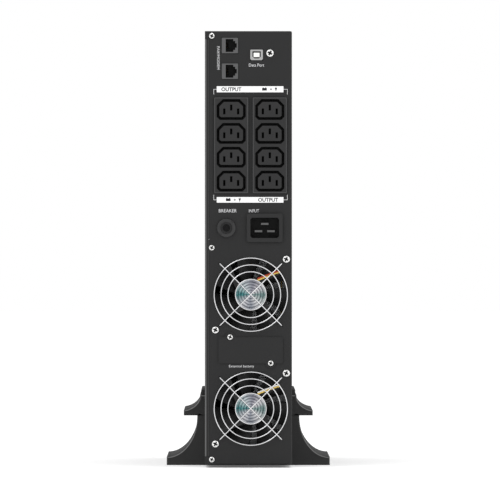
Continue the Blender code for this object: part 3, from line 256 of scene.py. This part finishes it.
materialLooks = {
    "housing_paint": powderCoat("housingPaint", grey(0.0165), 0.55),
    "bare_steel": brushedMetal("zincSheet", (0.55, 0.56, 0.57), 0.4, (1.0, 20.0, 1.0)),
    "black_moulding": moulded("blackMoulding", grey(0.016), 0.5),
    "front_moulding": moulded("frontMoulding", grey(0.02), 0.5, 2200),
    "button_rubber": moulded("buttonRubber", grey(0.12), 0.6),
    # the jacks' grey is painted black down their cavities, as painted shade
    "port_grey": moulded("portGrey", grey(0.085), 0.5, recess_shade=(rearFace + 0.3 * mm, 1.5 * mm)),
    "port_white": moulded("portWhite", (0.8, 0.8, 0.78), 0.4),
    "nickel": plated("nickelPlate", (0.55, 0.55, 0.54), 0.25),
    "brass": plated("brassPlate", (0.72, 0.55, 0.28), 0.3),
    "guard_wire": plated("guardChrome", (0.66, 0.66, 0.67), 0.2),
    "circuit_board": boardFinish("circuitBoard"),
    "heatsink_metal": brushedMetal("heatsinkMetal", (0.75, 0.75, 0.76), 0.35, (1.0, 0.1, 1.0)),
    "transformer_iron": brushedMetal("transformerIron", (0.2, 0.2, 0.21), 0.45, (1.0, 30.0, 1.0)),
    "battery_case": moulded("batteryCase", grey(0.06), 0.45),
    "red_lead": moulded("redLead", (0.42, 0.06, 0.03), 0.4, 900),
    "yellow_lead": moulded("yellowLead", (0.7, 0.5, 0.12), 0.4, 900),
    "foot_moulding": footPlastic("footMoulding", 0.036),
}


def glassFinish():
    finish = Finish("screenGlass", Coat_Weight=1.0)
    sheen = finish.noise(60, 2)
    finish.tint(sheen, (0.01, 0.014, 0.02), (0.014, 0.02, 0.028))
    finish.feed("Roughness", 0.08 + sheen * 0.05)
    return finish.material


materialLooks["screen_glass"] = glassFinish()
whitePrint = printed("whitePrint", (0.85, 0.85, 0.85))
darkPrint = printed("darkPrint", (0.02, 0.02, 0.022))
mutedPrint = printed("mutedPrint", (0.6, 0.6, 0.61))
goldContact = plated("goldContact", (0.3, 0.2, 0.08), 0.3)
# near-black: the breaker cap's own black, and painted shade on the screw cross floors and on the sheets behind the
# front vents
blackAndPaintedShade = moulded("blackAndPaintedShade", grey(0.006), 0.7, specular=0.1)
screwSteel = plated("screwSteel", (0.78, 0.78, 0.77), 0.2)
ringMoulding = moulded("ringMoulding", grey(0.022), 0.35, specular=0.35)
# a lighter grey: painted highlight on the outlet rims, and on the breaker collar partly its own colour and partly
# painted highlight
highlightGrey = moulded("highlightGrey", grey(0.06), 0.35, specular=0.4)
ownLooks = {
    # the outlet blocks, the inlet and the socket shell are painted black down their recesses, as painted shade
    "outlet_block_left": moulded("outletMoulding", grey(0.02), 0.5, recess_shade=(rearFace - 1.2 * mm, 2.0 * mm)),
    "inlet_housing": moulded("inletMoulding", grey(0.018), 0.5, recess_shade=(rearFace - 0.8 * mm, 2.0 * mm)),
    "data_socket_shell": plated("socketShell", (0.42, 0.42, 0.42), 0.3, recess_shade=(rearFace + 0.4 * mm, 1.2 * mm)),
    "inlet_pin_line": plated("dullPin", (0.11, 0.11, 0.11), 0.4),
}
ownLooks["side_cover"] = coverPaintAndHighlight("coverPaintAndHighlight", 0.0165)
ownLooks["outlet_block_right"] = ownLooks["outlet_block_left"]
ownLooks["inlet_pin_earth"] = ownLooks["inlet_pin_neutral"] = ownLooks["inlet_pin_line"]


def foilSticker(name, centre):
    # holographic foil: bands of silver and teal round the hub, under fine rings of print
    finish = Finish(name, metallic=1.0)
    turned = finish.node("ShaderNodeMapping", {"vector_type": "TEXTURE"},
                         {"Vector": finish.place, "Location": centre, "Rotation": (math.pi / 2, 0.0, 0.0)})
    angle = finish.node("ShaderNodeTexGradient", {"gradient_type": "RADIAL"}, {"Vector": turned}, "Fac")
    mottle = finish.noise(420, 4, 0.7)
    fan = finish.node("ShaderNodeValToRGB", inputs={"Fac": angle + mottle * 0.16 - 0.08})
    ramp = fan.socket.node.color_ramp
    foil = [(0.0, (0.05, 0.2, 0.2)), (0.06, (0.32, 0.36, 0.38)), (0.14, (0.62, 0.62, 0.64)), (0.24, (0.24, 0.26, 0.3)),
            (0.36, (0.66, 0.66, 0.66)), (0.5, (0.16, 0.26, 0.25)), (0.6, (0.7, 0.68, 0.7)), (0.72, (0.27, 0.27, 0.32)),
            (0.84, (0.55, 0.6, 0.62)), (0.94, (0.28, 0.42, 0.42)), (1.0, (0.03, 0.18, 0.19))]
    while len(ramp.elements) < len(foil):
        ramp.elements.new(0.5)
    for element, (position, colour) in zip(ramp.elements, foil):
        element.position = position
        element.color = (*colour, 1)
    rings = finish.node("ShaderNodeTexWave", {"wave_type": "RINGS", "rings_direction": "SPHERICAL"},
                        {"Vector": turned, "Scale": 110.0, "Distortion": 1.5, "Detail": 2.0})
    inked = finish.node("ShaderNodeMixRGB", {"blend_type": "MULTIPLY"},
                         {"Fac": rings * mottle * 1.5, "Color1": fan, "Color2": (0.16, 0.17, 0.2, 1)})
    finish.feed("Base Color", inked)
    finish.feed("Roughness", 0.25 + mottle * 0.3)
    return finish.material

for entry in frame["record"]["subparts"]:
    node = frame["nodes"][entry["node"]]
    node.data.materials.clear()
    node.data.materials.append(ownLooks.get(entry["node"], materialLooks[entry["material_slot"]]))
print("finishes on", len(frame["nodes"]), "nodes")


# ---- modelling helpers


def deselect():
    if bpy.context.object and bpy.context.object.mode != "OBJECT":
        bpy.ops.object.mode_set(mode="OBJECT")
    bpy.ops.object.select_all(action="DESELECT")


def choose(obj):
    deselect()
    obj.select_set(True)
    bpy.context.view_layer.objects.active = obj


def editing(obj):
    choose(obj)
    bpy.ops.object.mode_set(mode="EDIT")
    bpy.ops.mesh.select_all(action="DESELECT")
    return bmesh.from_edit_mesh(obj.data)


def selectFaces(obj, test):
    bm = bmesh.from_edit_mesh(obj.data)
    bpy.ops.mesh.select_all(action="DESELECT")
    bpy.ops.mesh.select_mode(type="FACE")
    for face in bm.faces:
        if test(face):
            face.select_set(True)
    bmesh.update_edit_mesh(obj.data)


def settle(obj):
    # puts the piece's place into its mesh
    choose(obj)
    bpy.ops.object.transform_apply(location=True, rotation=True, scale=True)
    return obj


def finished(obj, name, body, slotName, material, *replaced):
    settle(obj)
    obj.name = name
    obj.data.name = name
    obj.data.materials.clear()
    obj.data.materials.append(material)
    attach(obj, body)
    if replaced:
        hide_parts(*replaced)
    return obj


def applied(obj, kind, **settings):
    choose(obj)
    modifier = obj.modifiers.new(kind.lower(), kind)
    for key, value in settings.items():
        setattr(modifier, key, value)
    bpy.ops.object.modifier_apply(modifier=modifier.name)
    return obj


def carve(obj, tool, operation="DIFFERENCE"):
    applied(obj, "BOOLEAN", operation=operation, object=tool, solver="EXACT")
    bpy.data.objects.remove(tool)
    return obj


def boxPiece(low, high):
    low, high = Vector(low), Vector(high)
    deselect()
    bpy.ops.mesh.primitive_cube_add(size=1, location=(low + high) / 2)
    obj = bpy.context.object
    obj.scale = high - low
    return settle(obj)


def roundPiece(radius, centre, near, far, steps=48, axis="Y"):
    deselect()
    turn = {"X": (0, math.pi / 2, 0), "Y": (math.pi / 2, 0, 0), "Z": (0, 0, 0)}[axis]
    place = {"X": ((near + far) / 2, centre[0], centre[1]), "Y": (centre[0], (near + far) / 2, centre[1]),
             "Z": (centre[0], centre[1], (near + far) / 2)}[axis]
    bpy.ops.mesh.primitive_cylinder_add(vertices=steps, radius=radius, depth=far - near, location=place, rotation=turn)
    return settle(bpy.context.object)


def joined(objects):
    deselect()
    for obj in objects:
        obj.select_set(True)
    bpy.context.view_layer.objects.active = objects[0]
    bpy.ops.object.join()
    return bpy.context.object


def smooth(obj, degrees=35):
    choose(obj)
    bpy.ops.object.shade_smooth_by_angle(angle=math.radians(degrees))
    return obj


# ---- camera, floor and light

view = {
    "distance": 8.0,
    "left": 0.012,
    "height": 0.2167,
    "aimX": 0.0016,
    "lens": 569.9,
}


def setStage():
    aim = Vector((view["aimX"], rearFace, bodyBase + view["height"]))
    place = Vector((-view["left"], rearFace - view["distance"], aim.z))
    deselect()
    bpy.ops.object.camera_add(location=place, rotation=(aim - place).to_track_quat("-Z", "Y").to_euler())
    camera = bpy.context.object
    camera.data.lens = view["lens"]
    camera.data.sensor_width = 36
    camera.data.clip_end = 50
    bpy.context.scene.camera = camera

    deselect()
    bpy.ops.mesh.primitive_plane_add(size=40, location=(0, 0, 0))
    floor = bpy.context.object
    floor.name = "floor"
    finish = Finish("paleFloor", roughness=0.9, Specular_IOR_Level=0.0)
    finish.tint(finish.noise(3), (0.93, 0.93, 0.93), (0.95, 0.95, 0.95))
    finish.shader.inputs["Emission Color"].default_value = (1, 1, 1, 1)
    finish.shader.inputs["Emission Strength"].default_value = 0.12
    floor.data.materials.append(finish.material)

    world = bpy.data.worlds.new("studio")
    bpy.context.scene.world = world
    world.use_nodes = True
    world.node_tree.nodes["Background"].inputs["Color"].default_value = (1, 1, 1, 1)
    world.node_tree.nodes["Background"].inputs["Strength"].default_value = 1.0

    lights = [
        ("keyLight", (-1.6, -2.2, 2.4), 1.6, 20),
        ("fillLight", (1.9, -1.8, 1.4), 1.6, 9),
        ("topLight", (0.2, 0.6, 2.6), 2.0, 14),
    ]
    for name, spot, size, power in lights:
        bpy.ops.object.light_add(type="AREA", location=spot)
        lamp = bpy.context.object
        lamp.name = name
        lamp.data.size = size
        lamp.data.energy = power
        lamp.rotation_euler = (Vector((0, 0, 0.22)) - Vector(spot)).to_track_quat("-Z", "Y").to_euler()
    bpy.context.scene.view_settings.view_transform = "Standard"


setStage()
print("stage set")


# ---- printed words, bars and signs on the rear panel

labels = {
    "skin": 0.06 * mm,
    "lift": 0.02 * mm,
    "barLeft": -32.0,
    "barRight": 35.4,
    "topBar": (376.1, 382.2),
    "bottomBar": (264.6, 270.2),
    "bracketLeft": -34.9,
    "bracketRight": 39.2,
    "bracketLine": 0.3,
    "bracketReach": 3.2,
    "words": [
        # text, middle across, middle up, width, height, turned, dark
        ("OUTPUT", -17.2, 379.15, 20.2, 4.0, 0, True),
        ("OUTPUT", 20.0, 267.4, 20.2, 3.9, 0, True),
        ("BREAKER", -20.9, 256.4, 18.0, 3.3, 0, False),
        ("INPUT", 5.6, 256.2, 10.2, 3.3, 0, False),
        ("FAX/MODEM", -30.4, 410.8, 23.2, 2.6, -90, False),
        ("Data Port", 8.2, 403.6, 15.5, 3.1, 0, False),
        ("External battery", -6.9, 98.9, 25.4, 3.2, 0, False),
    ],
}


def onPanel(x, z, depth=0.0):
    return Vector((x * mm, rearFace - depth, bodyBase + z * mm))


def flatShape(low, high, depth):
    # a thin printed patch between two places across and up the panel
    return boxPiece(onPanel(low[0], low[1], depth + labels["skin"]), onPanel(high[0], high[1], depth))


def makeWords():
    whiteWords, darkWords = [], []
    for index, (text, x, z, width, height, turn, dark) in enumerate(labels["words"]):
        deselect()
        bpy.ops.object.text_add()
        word = bpy.context.object
        word.data.body = text
        word.data.align_x = "CENTER"
        word.data.align_y = "CENTER"
        word.data.extrude = labels["skin"] / 2
        word.data.offset = 0.02 if dark else 0.0
        word.data.resolution_u = 3
        bpy.ops.object.convert(target="MESH")
        corners = [Vector(v.co) for v in word.data.vertices]
        lows = [min(c[axis] for c in corners) for axis in (0, 1)]
        highs = [max(c[axis] for c in corners) for axis in (0, 1)]
        shift = Matrix.Translation((-(lows[0] + highs[0]) / 2, -(lows[1] + highs[1]) / 2, 0))
        fit = Matrix.Diagonal((width * mm / (highs[0] - lows[0]), height * mm / (highs[1] - lows[1]), 1, 1))
        upright = Matrix.Rotation(math.radians(90), 4, "X")
        turned = Matrix.Rotation(math.radians(turn), 4, "Z")
        depth = labels["lift"] + labels["skin"] * (2 if dark else 0.5) + (0.04 * mm if dark else 0)
        place = Matrix.Translation(onPanel(x, z, depth))
        word.data.transform(place @ upright @ turned @ fit @ shift)
        (darkWords if dark else whiteWords).append(word)
    finished(joined(whiteWords), "white_words", "housing", "port_white", mutedPrint)
    finished(joined(darkWords), "dark_words", "housing", "black_moulding", darkPrint)


def makeBars():
    depth = labels["lift"]
    bars = []
    for name, reach in (("topBar", -1), ("bottomBar", 1)):
        low, high = labels[name]
        bars.append(flatShape((labels["barLeft"], low), (labels["barRight"], high), depth))
        line = labels["bracketLine"]
        level = (low + high) / 2
        for start, end in ((labels["barLeft"], labels["bracketLeft"]), (labels["barRight"], labels["bracketRight"])):
            left, right = sorted((start, end))
            bars.append(flatShape((left, level - line / 2), (right, level + line / 2), depth))
            left, right = sorted((end, end + (line if end > 0 else -line)))
            tip = level + reach * labels["bracketReach"] * 1.6
            bars.append(flatShape((left, min(level - line / 2, tip)), (right, max(level + line / 2, tip)), depth))
    bar = joined(bars)
    finished(bar, "white_bars", "housing", "port_white", whitePrint)

    signs = []
    inkDepth = depth + labels["skin"] + 0.04 * mm

    def ink(x, z, width, height):
        signs.append(flatShape((x - width / 2, z - height / 2), (x + width / 2, z + height / 2), inkDepth))

    def signRow(startX, z):
        # a battery, a plus and a plug shown by its blades
        width, height = 4.7, 2.6
        ink(startX, z, width, height)
        for side in (-1, 1):
            ink(startX + side * 1.3, z + height / 2 + 0.3, 0.9, 0.6)
        ink(startX + 6.6, z, 2.4, 0.5)
        ink(startX + 6.6, z, 0.5, 2.4)
        ink(startX + 11.6, z + 0.6, 1.9, 1.4)
        ink(startX + 11.6, z - 0.9, 0.7, 1.7)
        for side in (-1, 1):
            ink(startX + 11.6 + side * 0.6, z + 1.6, 0.4, 0.8)

    signRow(16.2, sum(labels["topBar"]) / 2)
    signRow(-20.4, sum(labels["bottomBar"]) / 2)
    finished(joined(signs), "dark_signs", "housing", "black_moulding", darkPrint)


makeBars()
makeWords()
print("labels printed")


# ---- screws

screws = {
    "steps": 32,
    "slotWidth": 0.42,  # share of the head's radius
    "slotReach": 0.62,
    "slotDepth": 0.7,
}


def makeScrew(node):
    low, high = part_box(node)
    radius = (high.x - low.x) / 2
    centre = ((low.x + high.x) / 2, (low.z + high.z) / 2)
    top = low.y
    height = 2.0 * mm
    head = roundPiece(radius, centre, top, top + height, screws["steps"])
    editing(head)
    selectFaces(head, lambda face: face.normal.y < -0.9)
    bpy.ops.mesh.inset(thickness=radius * 0.3)
    bpy.ops.object.mode_set(mode="OBJECT")
    # the rim drops away so that the head is domed
    for vert in head.data.vertices:
        reach = math.hypot(vert.co.x - centre[0], vert.co.z - centre[1]) / radius
        if vert.co.y < top + height / 2:
            vert.co.y += height * 0.72 * reach ** 4
    smooth(head, 50)
    for turned in (0, math.pi / 2):
        reach = radius * screws["slotReach"]
        width = radius * screws["slotWidth"]
        slot = boxPiece((-reach, -height * screws["slotDepth"], -width / 2),
                        (reach, height * screws["slotDepth"] / 1.2, width / 2))
        slot.data.transform(Matrix.Translation((centre[0], top, centre[1])) @ Matrix.Rotation(turned + 0.5, 4, "Y"))
        carve(head, slot)
    finished(head, node + "_drive", "housing", "nickel", screwSteel, node)
    # the dark floor of the cross, which the drive leaves under the head: a near-black strip as painted shade
    reach = radius * screws["slotReach"] * 0.98
    width = radius * screws["slotWidth"] * 0.98
    level = top + height * 0.5
    floors = []
    for turned in (0, math.pi / 2):
        strip = boxPiece((-reach, 0, -width / 2), (reach, height * 0.08, width / 2))
        strip.data.transform(Matrix.Translation((centre[0], level, centre[1])) @ Matrix.Rotation(turned + 0.5, 4, "Y"))
        floors.append(strip)
    carve(floors[0], floors.pop(), "UNION")
    finished(floors[0], node + "_recess", "housing", "nickel", blackAndPaintedShade)


screwNodes = [name for name in frame["nodes"] if "screw" in name]
for name in sorted(screwNodes):
    makeScrew(name)
print("screws", len(screwNodes))


# ---- fan guards, stickers and leads

guard = {
    "wire": 1.15 * mm,
    "rings": (74.0, 60.2, 46.3, 31.0),
    "proud": 2.4 * mm,
    "ringLift": 1.2 * mm,
    "reach": 44.5 * mm,
    "bend": 1.6 * mm,
}


def rodThrough(points, radius, sides=12):
    # a bent wire with closed ends
    curve = bpy.data.curves.new("rod", "CURVE")
    curve.dimensions = "3D"
    curve.bevel_depth = radius
    curve.bevel_resolution = sides // 4
    curve.use_fill_caps = True
    spline = curve.splines.new("POLY")
    spline.points.add(len(points) - 1)
    for point, place in zip(spline.points, points):
        point.co = (*place, 1)
    obj = bpy.data.objects.new("rod", curve)
    bpy.context.scene.collection.objects.link(obj)
    choose(obj)
    bpy.ops.object.convert(target="MESH")
    editing(obj)
    bpy.ops.mesh.select_all(action="SELECT")
    bpy.ops.mesh.remove_doubles(threshold=1e-6)
    bpy.ops.object.mode_set(mode="OBJECT")
    return smooth(obj, 50)


def makeGuard(which):
    centre = middle(which + "_fan_frame")
    level = rearFace - guard["proud"]
    pieces = []
    for diameter in guard["rings"]:
        deselect()
        bpy.ops.mesh.primitive_torus_add(major_segments=96, minor_segments=12, major_radius=diameter / 2 * mm,
                                         minor_radius=guard["wire"] / 2, rotation=(math.pi / 2, 0, 0),
                                         location=(centre.x, level - guard["ringLift"], centre.z))
        pieces.append(smooth(bpy.context.object, 60))
    out = guard["reach"] / math.sqrt(2)
    for side in (-1, 1):
        route = [(out, rearFace + mm)]
        for step in range(6):
            angle = step / 5 * math.pi / 2
            along = out - guard["bend"] * (1 - math.cos(angle)) / math.sqrt(2)
            route.append((along, level + guard["bend"] * (1 - math.sin(angle))))
        half = [(side * a, y, a) for a, y in route]
        other = [(-x, y, -z) for x, y, z in reversed(half)]
        points = [(centre.x + x, y, centre.z + z) for x, y, z in half + other]
        pieces.append(rodThrough(points, guard["wire"] / 2))
    finished(joined(pieces), which + "_guard_wires", "housing", "guard_wire", materialLooks["guard_wire"],
             which + "_fan_guard")


sticker = {"radius": 15.2 * mm, "thickness": 0.15 * mm, "sink": 2.2 * mm}


def makeSticker(which):
    centre = middle(which + "_fan_frame")
    face = rearFace + sticker["sink"]
    disc = roundPiece(sticker["radius"], (centre.x, centre.z), face - sticker["thickness"] - 0.02 * mm,
                      face - 0.02 * mm, 64)
    applied(disc, "BEVEL", width=0.05 * mm, segments=2, limit_method="ANGLE")
    look = foilSticker(which + "Foil", (centre.x, face, centre.z))
    finished(smooth(disc), which + "_hub_sticker", "housing", "heatsink_metal", look)


leads = {
    "radius": 0.75 * mm,
    "apart": 1.55 * mm,
    "start": (16.7, 66),  # reach and angle round the hub
    "gate": (38.0, 37),
    "depth": 1.9 * mm,
}


def polar(radius, degrees):
    return radius * math.cos(math.radians(degrees)) * mm, radius * math.sin(math.radians(degrees)) * mm


def smoothRoute(points, steps=6):
    ends = [points[0], *points, points[-1]]
    route = []
    for a, b, c, d in zip(ends, ends[1:], ends[2:], ends[3:]):
        a, b, c, d = Vector(a), Vector(b), Vector(c), Vector(d)
        for step in range(steps):
            t = step / steps
            route.append(0.5 * (2 * b + (c - a) * t + (2 * a - 5 * b + 4 * c - d) * t**2
                                + (3 * b - a - 3 * c + d) * t**3))
    return [*route, Vector(points[-1])]


def makeLeads(which, looks):
    centre = middle(which + "_fan_frame")
    low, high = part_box(which + "_fan_leads")
    startX, startZ = polar(*leads["start"])
    gateX, gateZ = polar(*leads["gate"])
    turnX = gateX + 3.4 * mm
    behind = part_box(which + "_fan_frame")[1].y
    depth = rearFace + leads["depth"]
    route = [(startX, depth, startZ), (gateX - 8 * mm, depth, gateZ - 1.6 * mm), (gateX - mm, depth, gateZ + 0.4 * mm),
             (turnX, depth + 3.2 * mm, gateZ + mm), (turnX, depth + 12 * mm, gateZ + mm),
             (turnX, behind + 2 * mm, gateZ + mm)]
    for index, look in enumerate(looks):
        shift = (index - (len(looks) - 1) / 2) * leads["apart"]
        points = [(centre.x + x, y, centre.z + z + shift) for x, y, z in route]
        end = Vector((low.x + 25 * mm, high.y, high.z - 1 * mm))
        points.append((points[-1][0] - 2 * mm, behind + 9 * mm + shift, points[-1][2] + 7 * mm))
        points.append((end.x, high.y - mm + shift, high.z - mm))
        lead = rodThrough(smoothRoute(points), leads["radius"], 8)
        finished(lead, f"{which}_fan_lead_{index}", "housing", look, materialLooks[look],
                 *([which + "_fan_leads"] if index == 0 else []))


for which, looks in (("upper", ("yellow_lead", "red_lead")), ("lower", ("yellow_lead", "port_white"))):
    makeGuard(which)
    makeSticker(which)
    makeLeads(which, looks)
print("fans dressed")


# ---- tower feet

foot = {
    "toeReach": 83.4 * mm,
    "toeHeight": 8.2 * mm,
    "wall": 52.2 * mm,
    "archTop": 50.8 * mm,
    "wingReach": 66.0 * mm,
    "wingTip": 55.6 * mm,
    "wingTop": 71.5 * mm,
    "wingRoot": 49.3 * mm,
    "wingArch": 20.0 * mm,
    "floor": 3.0 * mm,
    "inner": 44.3 * mm,
    "clipReach": 48.2 * mm,
    "clipInset": 3.0 * mm,
    "rounding": 1.9 * mm,
}


def ovalTool(centreX, centreZ, width, height, y):
    tool = roundPiece(1.0, (0, 0), y[0] - mm, y[1] + mm, 128)
    tool.data.transform(Matrix.Translation((centreX, 0, centreZ)) @ Matrix.Diagonal((width, 1, height, 1)))
    return tool


def makeFoot(node):
    low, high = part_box(node)
    y = (low.y, high.y)
    toe = boxPiece((0.15 * mm, y[0], 0), (foot["toeReach"], y[1], foot["archTop"]))
    carve(toe, ovalTool(foot["toeReach"], foot["archTop"], foot["toeReach"] - foot["wall"],
                        foot["archTop"] - foot["toeHeight"], y))
    wing = boxPiece((foot["inner"], y[0], foot["archTop"] - 0.0001), (foot["wingReach"], y[1], foot["wingTop"]))
    carve(wing, ovalTool(foot["wingRoot"] + foot["wingArch"], foot["wingTop"], foot["wingArch"],
                         foot["wingTop"] - foot["wingTip"], y))
    carve(toe, wing, "UNION")
    carve(toe, boxPiece((-mm, y[0] - mm, foot["floor"]), (foot["inner"], y[1] + mm, 2 * foot["wingTop"])))
    bm = editing(toe)
    bpy.ops.mesh.select_mode(type="EDGE")
    for edge in bm.edges:
        ends = [v.co.y for v in edge.verts]
        onRim = any(all(abs(end - side) < 1e-5 for end in ends) for side in y)
        outward = max(v.co.x for v in edge.verts) > foot["inner"] + 0.1 * mm and max(v.co.z for v in edge.verts) > mm
        if onRim and outward and len(edge.link_faces) == 2 and edge.calc_face_angle() > 1.0:
            edge.select_set(True)
    bmesh.update_edit_mesh(toe.data)
    bpy.ops.transform.edge_bevelweight(value=1)
    bpy.ops.object.mode_set(mode="OBJECT")
    applied(toe, "BEVEL", width=foot["rounding"], segments=4, limit_method="WEIGHT", use_clamp_overlap=False)
    clipTop = high.z
    clip = boxPiece((foot["inner"], y[0] + foot["clipInset"], foot["archTop"]),
                    (foot["clipReach"], y[1] - foot["clipInset"], clipTop))
    applied(clip, "BEVEL", width=0.6 * mm, segments=2, limit_method="ANGLE")
    for step in (0, 1):
        level = clipTop - (2.4 + 2.6 * step) * mm
        carve(clip, boxPiece((foot["clipReach"] - 0.6 * mm, y[0], level - 0.5 * mm),
                             (foot["clipReach"] + mm, y[1], level + 0.5 * mm)))
    carve(toe, clip, "UNION")
    if node.endswith("left"):
        toe.data.transform(Matrix.Diagonal((-1, 1, 1, 1)))
        toe.data.flip_normals()
    smooth(toe, 30)
    return finished(toe, node + "_moulding", "housing", "foot_moulding", materialLooks["foot_moulding"], node)


for name in sorted(frame["nodes"]):
    if "_foot_" in name:
        makeFoot(name)
print("feet made")


# ---- breaker

def makeBreaker():
    centre = middle("breaker_nut")
    low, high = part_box("breaker_nut")
    radius = (high.x - low.x) / 2
    nut = roundPiece(radius, (centre.x, centre.z), low.y, high.y, 72)
    applied(nut, "BEVEL", width=0.7 * mm, segments=3, limit_method="ANGLE")
    carve(nut, roundPiece(5.7 * mm, (centre.x, centre.z), low.y - mm, high.y + mm, 48))
    for index in range(2):
        notch = boxPiece((-1.2 * mm, -3 * mm, radius - 1.4 * mm), (1.2 * mm, mm, radius + mm))
        turn = Matrix.Rotation(math.radians(45 + 180 * index), 4, "Y")
        notch.data.transform(Matrix.Translation((centre.x, low.y + 0.3 * mm, centre.z)) @ turn)
        carve(nut, notch)
    finished(smooth(nut), "breaker_ring", "housing", "black_moulding", ringMoulding, "breaker_nut")

    # a lighter collar round the button: partly its own colour, partly a painted highlight
    deselect()
    bpy.ops.mesh.primitive_torus_add(major_segments=64, minor_segments=12,
                                     major_radius=4.9 * mm, minor_radius=0.55 * mm,
                                     location=(centre.x, low.y + 0.6 * mm, centre.z), rotation=(math.pi / 2, 0, 0))
    finished(smooth(bpy.context.object, 60), "breaker_collar", "housing", "black_moulding", highlightGrey)

    low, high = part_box("breaker_button")
    button = roundPiece((high.x - low.x) / 2, (centre.x, centre.z), low.y, high.y, 48)
    applied(button, "BEVEL", width=0.5 * mm, segments=3, limit_method="ANGLE")
    dish = roundPiece(2.3 * mm, (centre.x, centre.z), low.y - mm, low.y + 0.4 * mm, 48)
    carve(button, dish)
    finished(smooth(button), "breaker_cap", "breaker_plunger", "black_moulding", blackAndPaintedShade,
             "breaker_button")


makeBreaker()
print("breaker made")


# ---- signs on the front keys and the screen

signs = {"skin": 0.08 * mm, "line": 0.35 * mm, "ring": 0.95 * mm, "bars": 5}


def frontPatch(x, z, width, height, face, angle=0.0):
    # a thin printed strip on a face that looks to the front
    strip = boxPiece((-width / 2, 0, -height / 2), (width / 2, signs["skin"], height / 2))
    strip.data.transform(Matrix.Translation((x, face - signs["skin"] / 2, z)) @ Matrix.Rotation(angle, 4, "Y"))
    return strip


def keySign(node, body, strokes, ring=False):
    centre, face, line = middle(node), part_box(node)[1].y, signs["line"]
    pieces = [frontPatch(centre.x + x * mm, centre.z + z * mm, length * mm, line, face - 0.03 * mm, math.radians(turn))
              for x, z, length, turn in strokes]
    if ring:
        deselect()
        bpy.ops.mesh.primitive_torus_add(major_segments=40, minor_segments=8, major_radius=signs["ring"],
                                         minor_radius=line / 2, rotation=(math.pi / 2, 0, 0),
                                         location=(centre.x, face - line / 2, centre.z))
        pieces.append(bpy.context.object)
    finished(joined(pieces), node + "_sign", body, "port_white", whitePrint)


keySign("power_button", "power_key", [(0, 0.9, 1.2, 90)], ring=True)
keySign("up_button", "up_key", [(-0.5, 0, 1.7, -50), (0.5, 0, 1.7, 50)])
keySign("down_button", "down_key", [(-0.5, 0, 1.7, 50), (0.5, 0, 1.7, -50)])
keySign("enter_button", "enter_key", [(0, -0.4, 2.0, 0), (-1.0, 0.2, 1.2, 90), (0.7, -0.05, 0.9, 45),
                                      (0.7, -0.75, 0.9, -45)])


def makeReadout():
    # a battery outline with its charge bars, and a load line of small blocks
    low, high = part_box("display_screen")
    centre, face = (low + high) / 2, high.y - 0.02 * mm
    line = 0.5 * mm
    wide, tall = 16 * mm, 9 * mm
    left = centre.x + 12 * mm
    pieces = []
    for side in (-1, 1):
        pieces.append(frontPatch(left, centre.z + 3 * mm + side * tall / 2, wide, line, face))
        pieces.append(frontPatch(left + side * wide / 2, centre.z + 3 * mm, line, tall + line, face))
    pieces.append(frontPatch(left - wide / 2 - mm, centre.z + 3 * mm, 1.4 * mm, 3.4 * mm, face))
    for index in range(signs["bars"] - 1):
        pieces.append(frontPatch(left + (index - 1.5) * 3.6 * mm, centre.z + 3 * mm, 2.4 * mm, tall - 2.6 * mm, face))
    for index in range(signs["bars"] * 2):
        pieces.append(frontPatch(centre.x + (4.5 - index) * 4.2 * mm, centre.z - 9 * mm, 3.0 * mm,
                                 (1.2 + 0.3 * index) * mm, face))
    finished(joined(pieces), "screen_readout", "display", "port_white", mutedPrint)


makeReadout()
print("front signs made")


# ---- dark sheets behind the front vents, a painted shade for the inside seen through them

ventShade = {"near": 0.0032, "thickness": 0.0015, "inset": 0.009, "upperTop": 0.085}


def makeVentShade(node, body, top):
    low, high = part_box(node)
    near = high.y - ventShade["near"] - ventShade["thickness"] - 0.0002
    sheet = boxPiece((low.x + ventShade["inset"], near, low.z + ventShade["inset"]),
                     (high.x - ventShade["inset"], near + ventShade["thickness"], top - ventShade["inset"]))
    applied(sheet, "BEVEL", width=0.3 * mm, segments=2, limit_method="ANGLE")
    finished(sheet, node + "_filter", body, "black_moulding", blackAndPaintedShade)


makeVentShade("battery_door", "battery_drawer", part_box("battery_door")[1].z)
makeVentShade("front_bezel", "housing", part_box("front_bezel")[0].z + ventShade["upperTop"])


# ---- painted highlight: thin lighter strips along the rim of each outlet block

rim = {"width": 0.45 * mm, "height": 0.12 * mm, "inset": 0.5 * mm}


def makeRimHighlight(node):
    low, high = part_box(node)
    left, right = low.x + rim["inset"], high.x - rim["inset"]
    bottom, top = low.z + rim["inset"], high.z - rim["inset"]
    width, near, far = rim["width"], low.y - rim["height"], low.y + rim["height"]
    sides = [boxPiece((left, near, bottom), (right, far, bottom + width)),
             boxPiece((left, near, top - width), (right, far, top)),
             boxPiece((left, near, bottom + width), (left + width, far, top - width)),
             boxPiece((right - width, near, bottom + width), (right, far, top - width))]
    edge = joined(sides)
    finished(edge, node + "_rim", "housing", "black_moulding", highlightGrey)


for name in ("outlet_block_left", "outlet_block_right"):
    makeRimHighlight(name)


# ---- contacts inside the two modem jacks

contacts = {"count": 6, "pitch": 1.02 * mm, "radius": 0.22 * mm, "left": -4.0 * mm, "rise": 2.2 * mm}


def makeContacts(node):
    low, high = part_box(node)
    centre = (low + high) / 2
    wires = []
    for index in range(contacts["count"]):
        z = centre.z + (index - (contacts["count"] - 1) / 2) * contacts["pitch"]
        points = [(centre.x + contacts["left"], low.y + 4.5 * mm, z),
                  (centre.x + contacts["left"] + contacts["rise"], low.y + 9 * mm, z),
                  (centre.x + contacts["left"] + contacts["rise"] * 0.8, low.y + 12.8 * mm, z)]
        wires.append(rodThrough(smoothRoute(points, 4), contacts["radius"], 8))
    finished(joined(wires), node + "_contacts", "housing", "brass", goldContact)


for name in ("modem_jack_upper", "modem_jack_lower"):
    makeContacts(name)
print("jack contacts made")
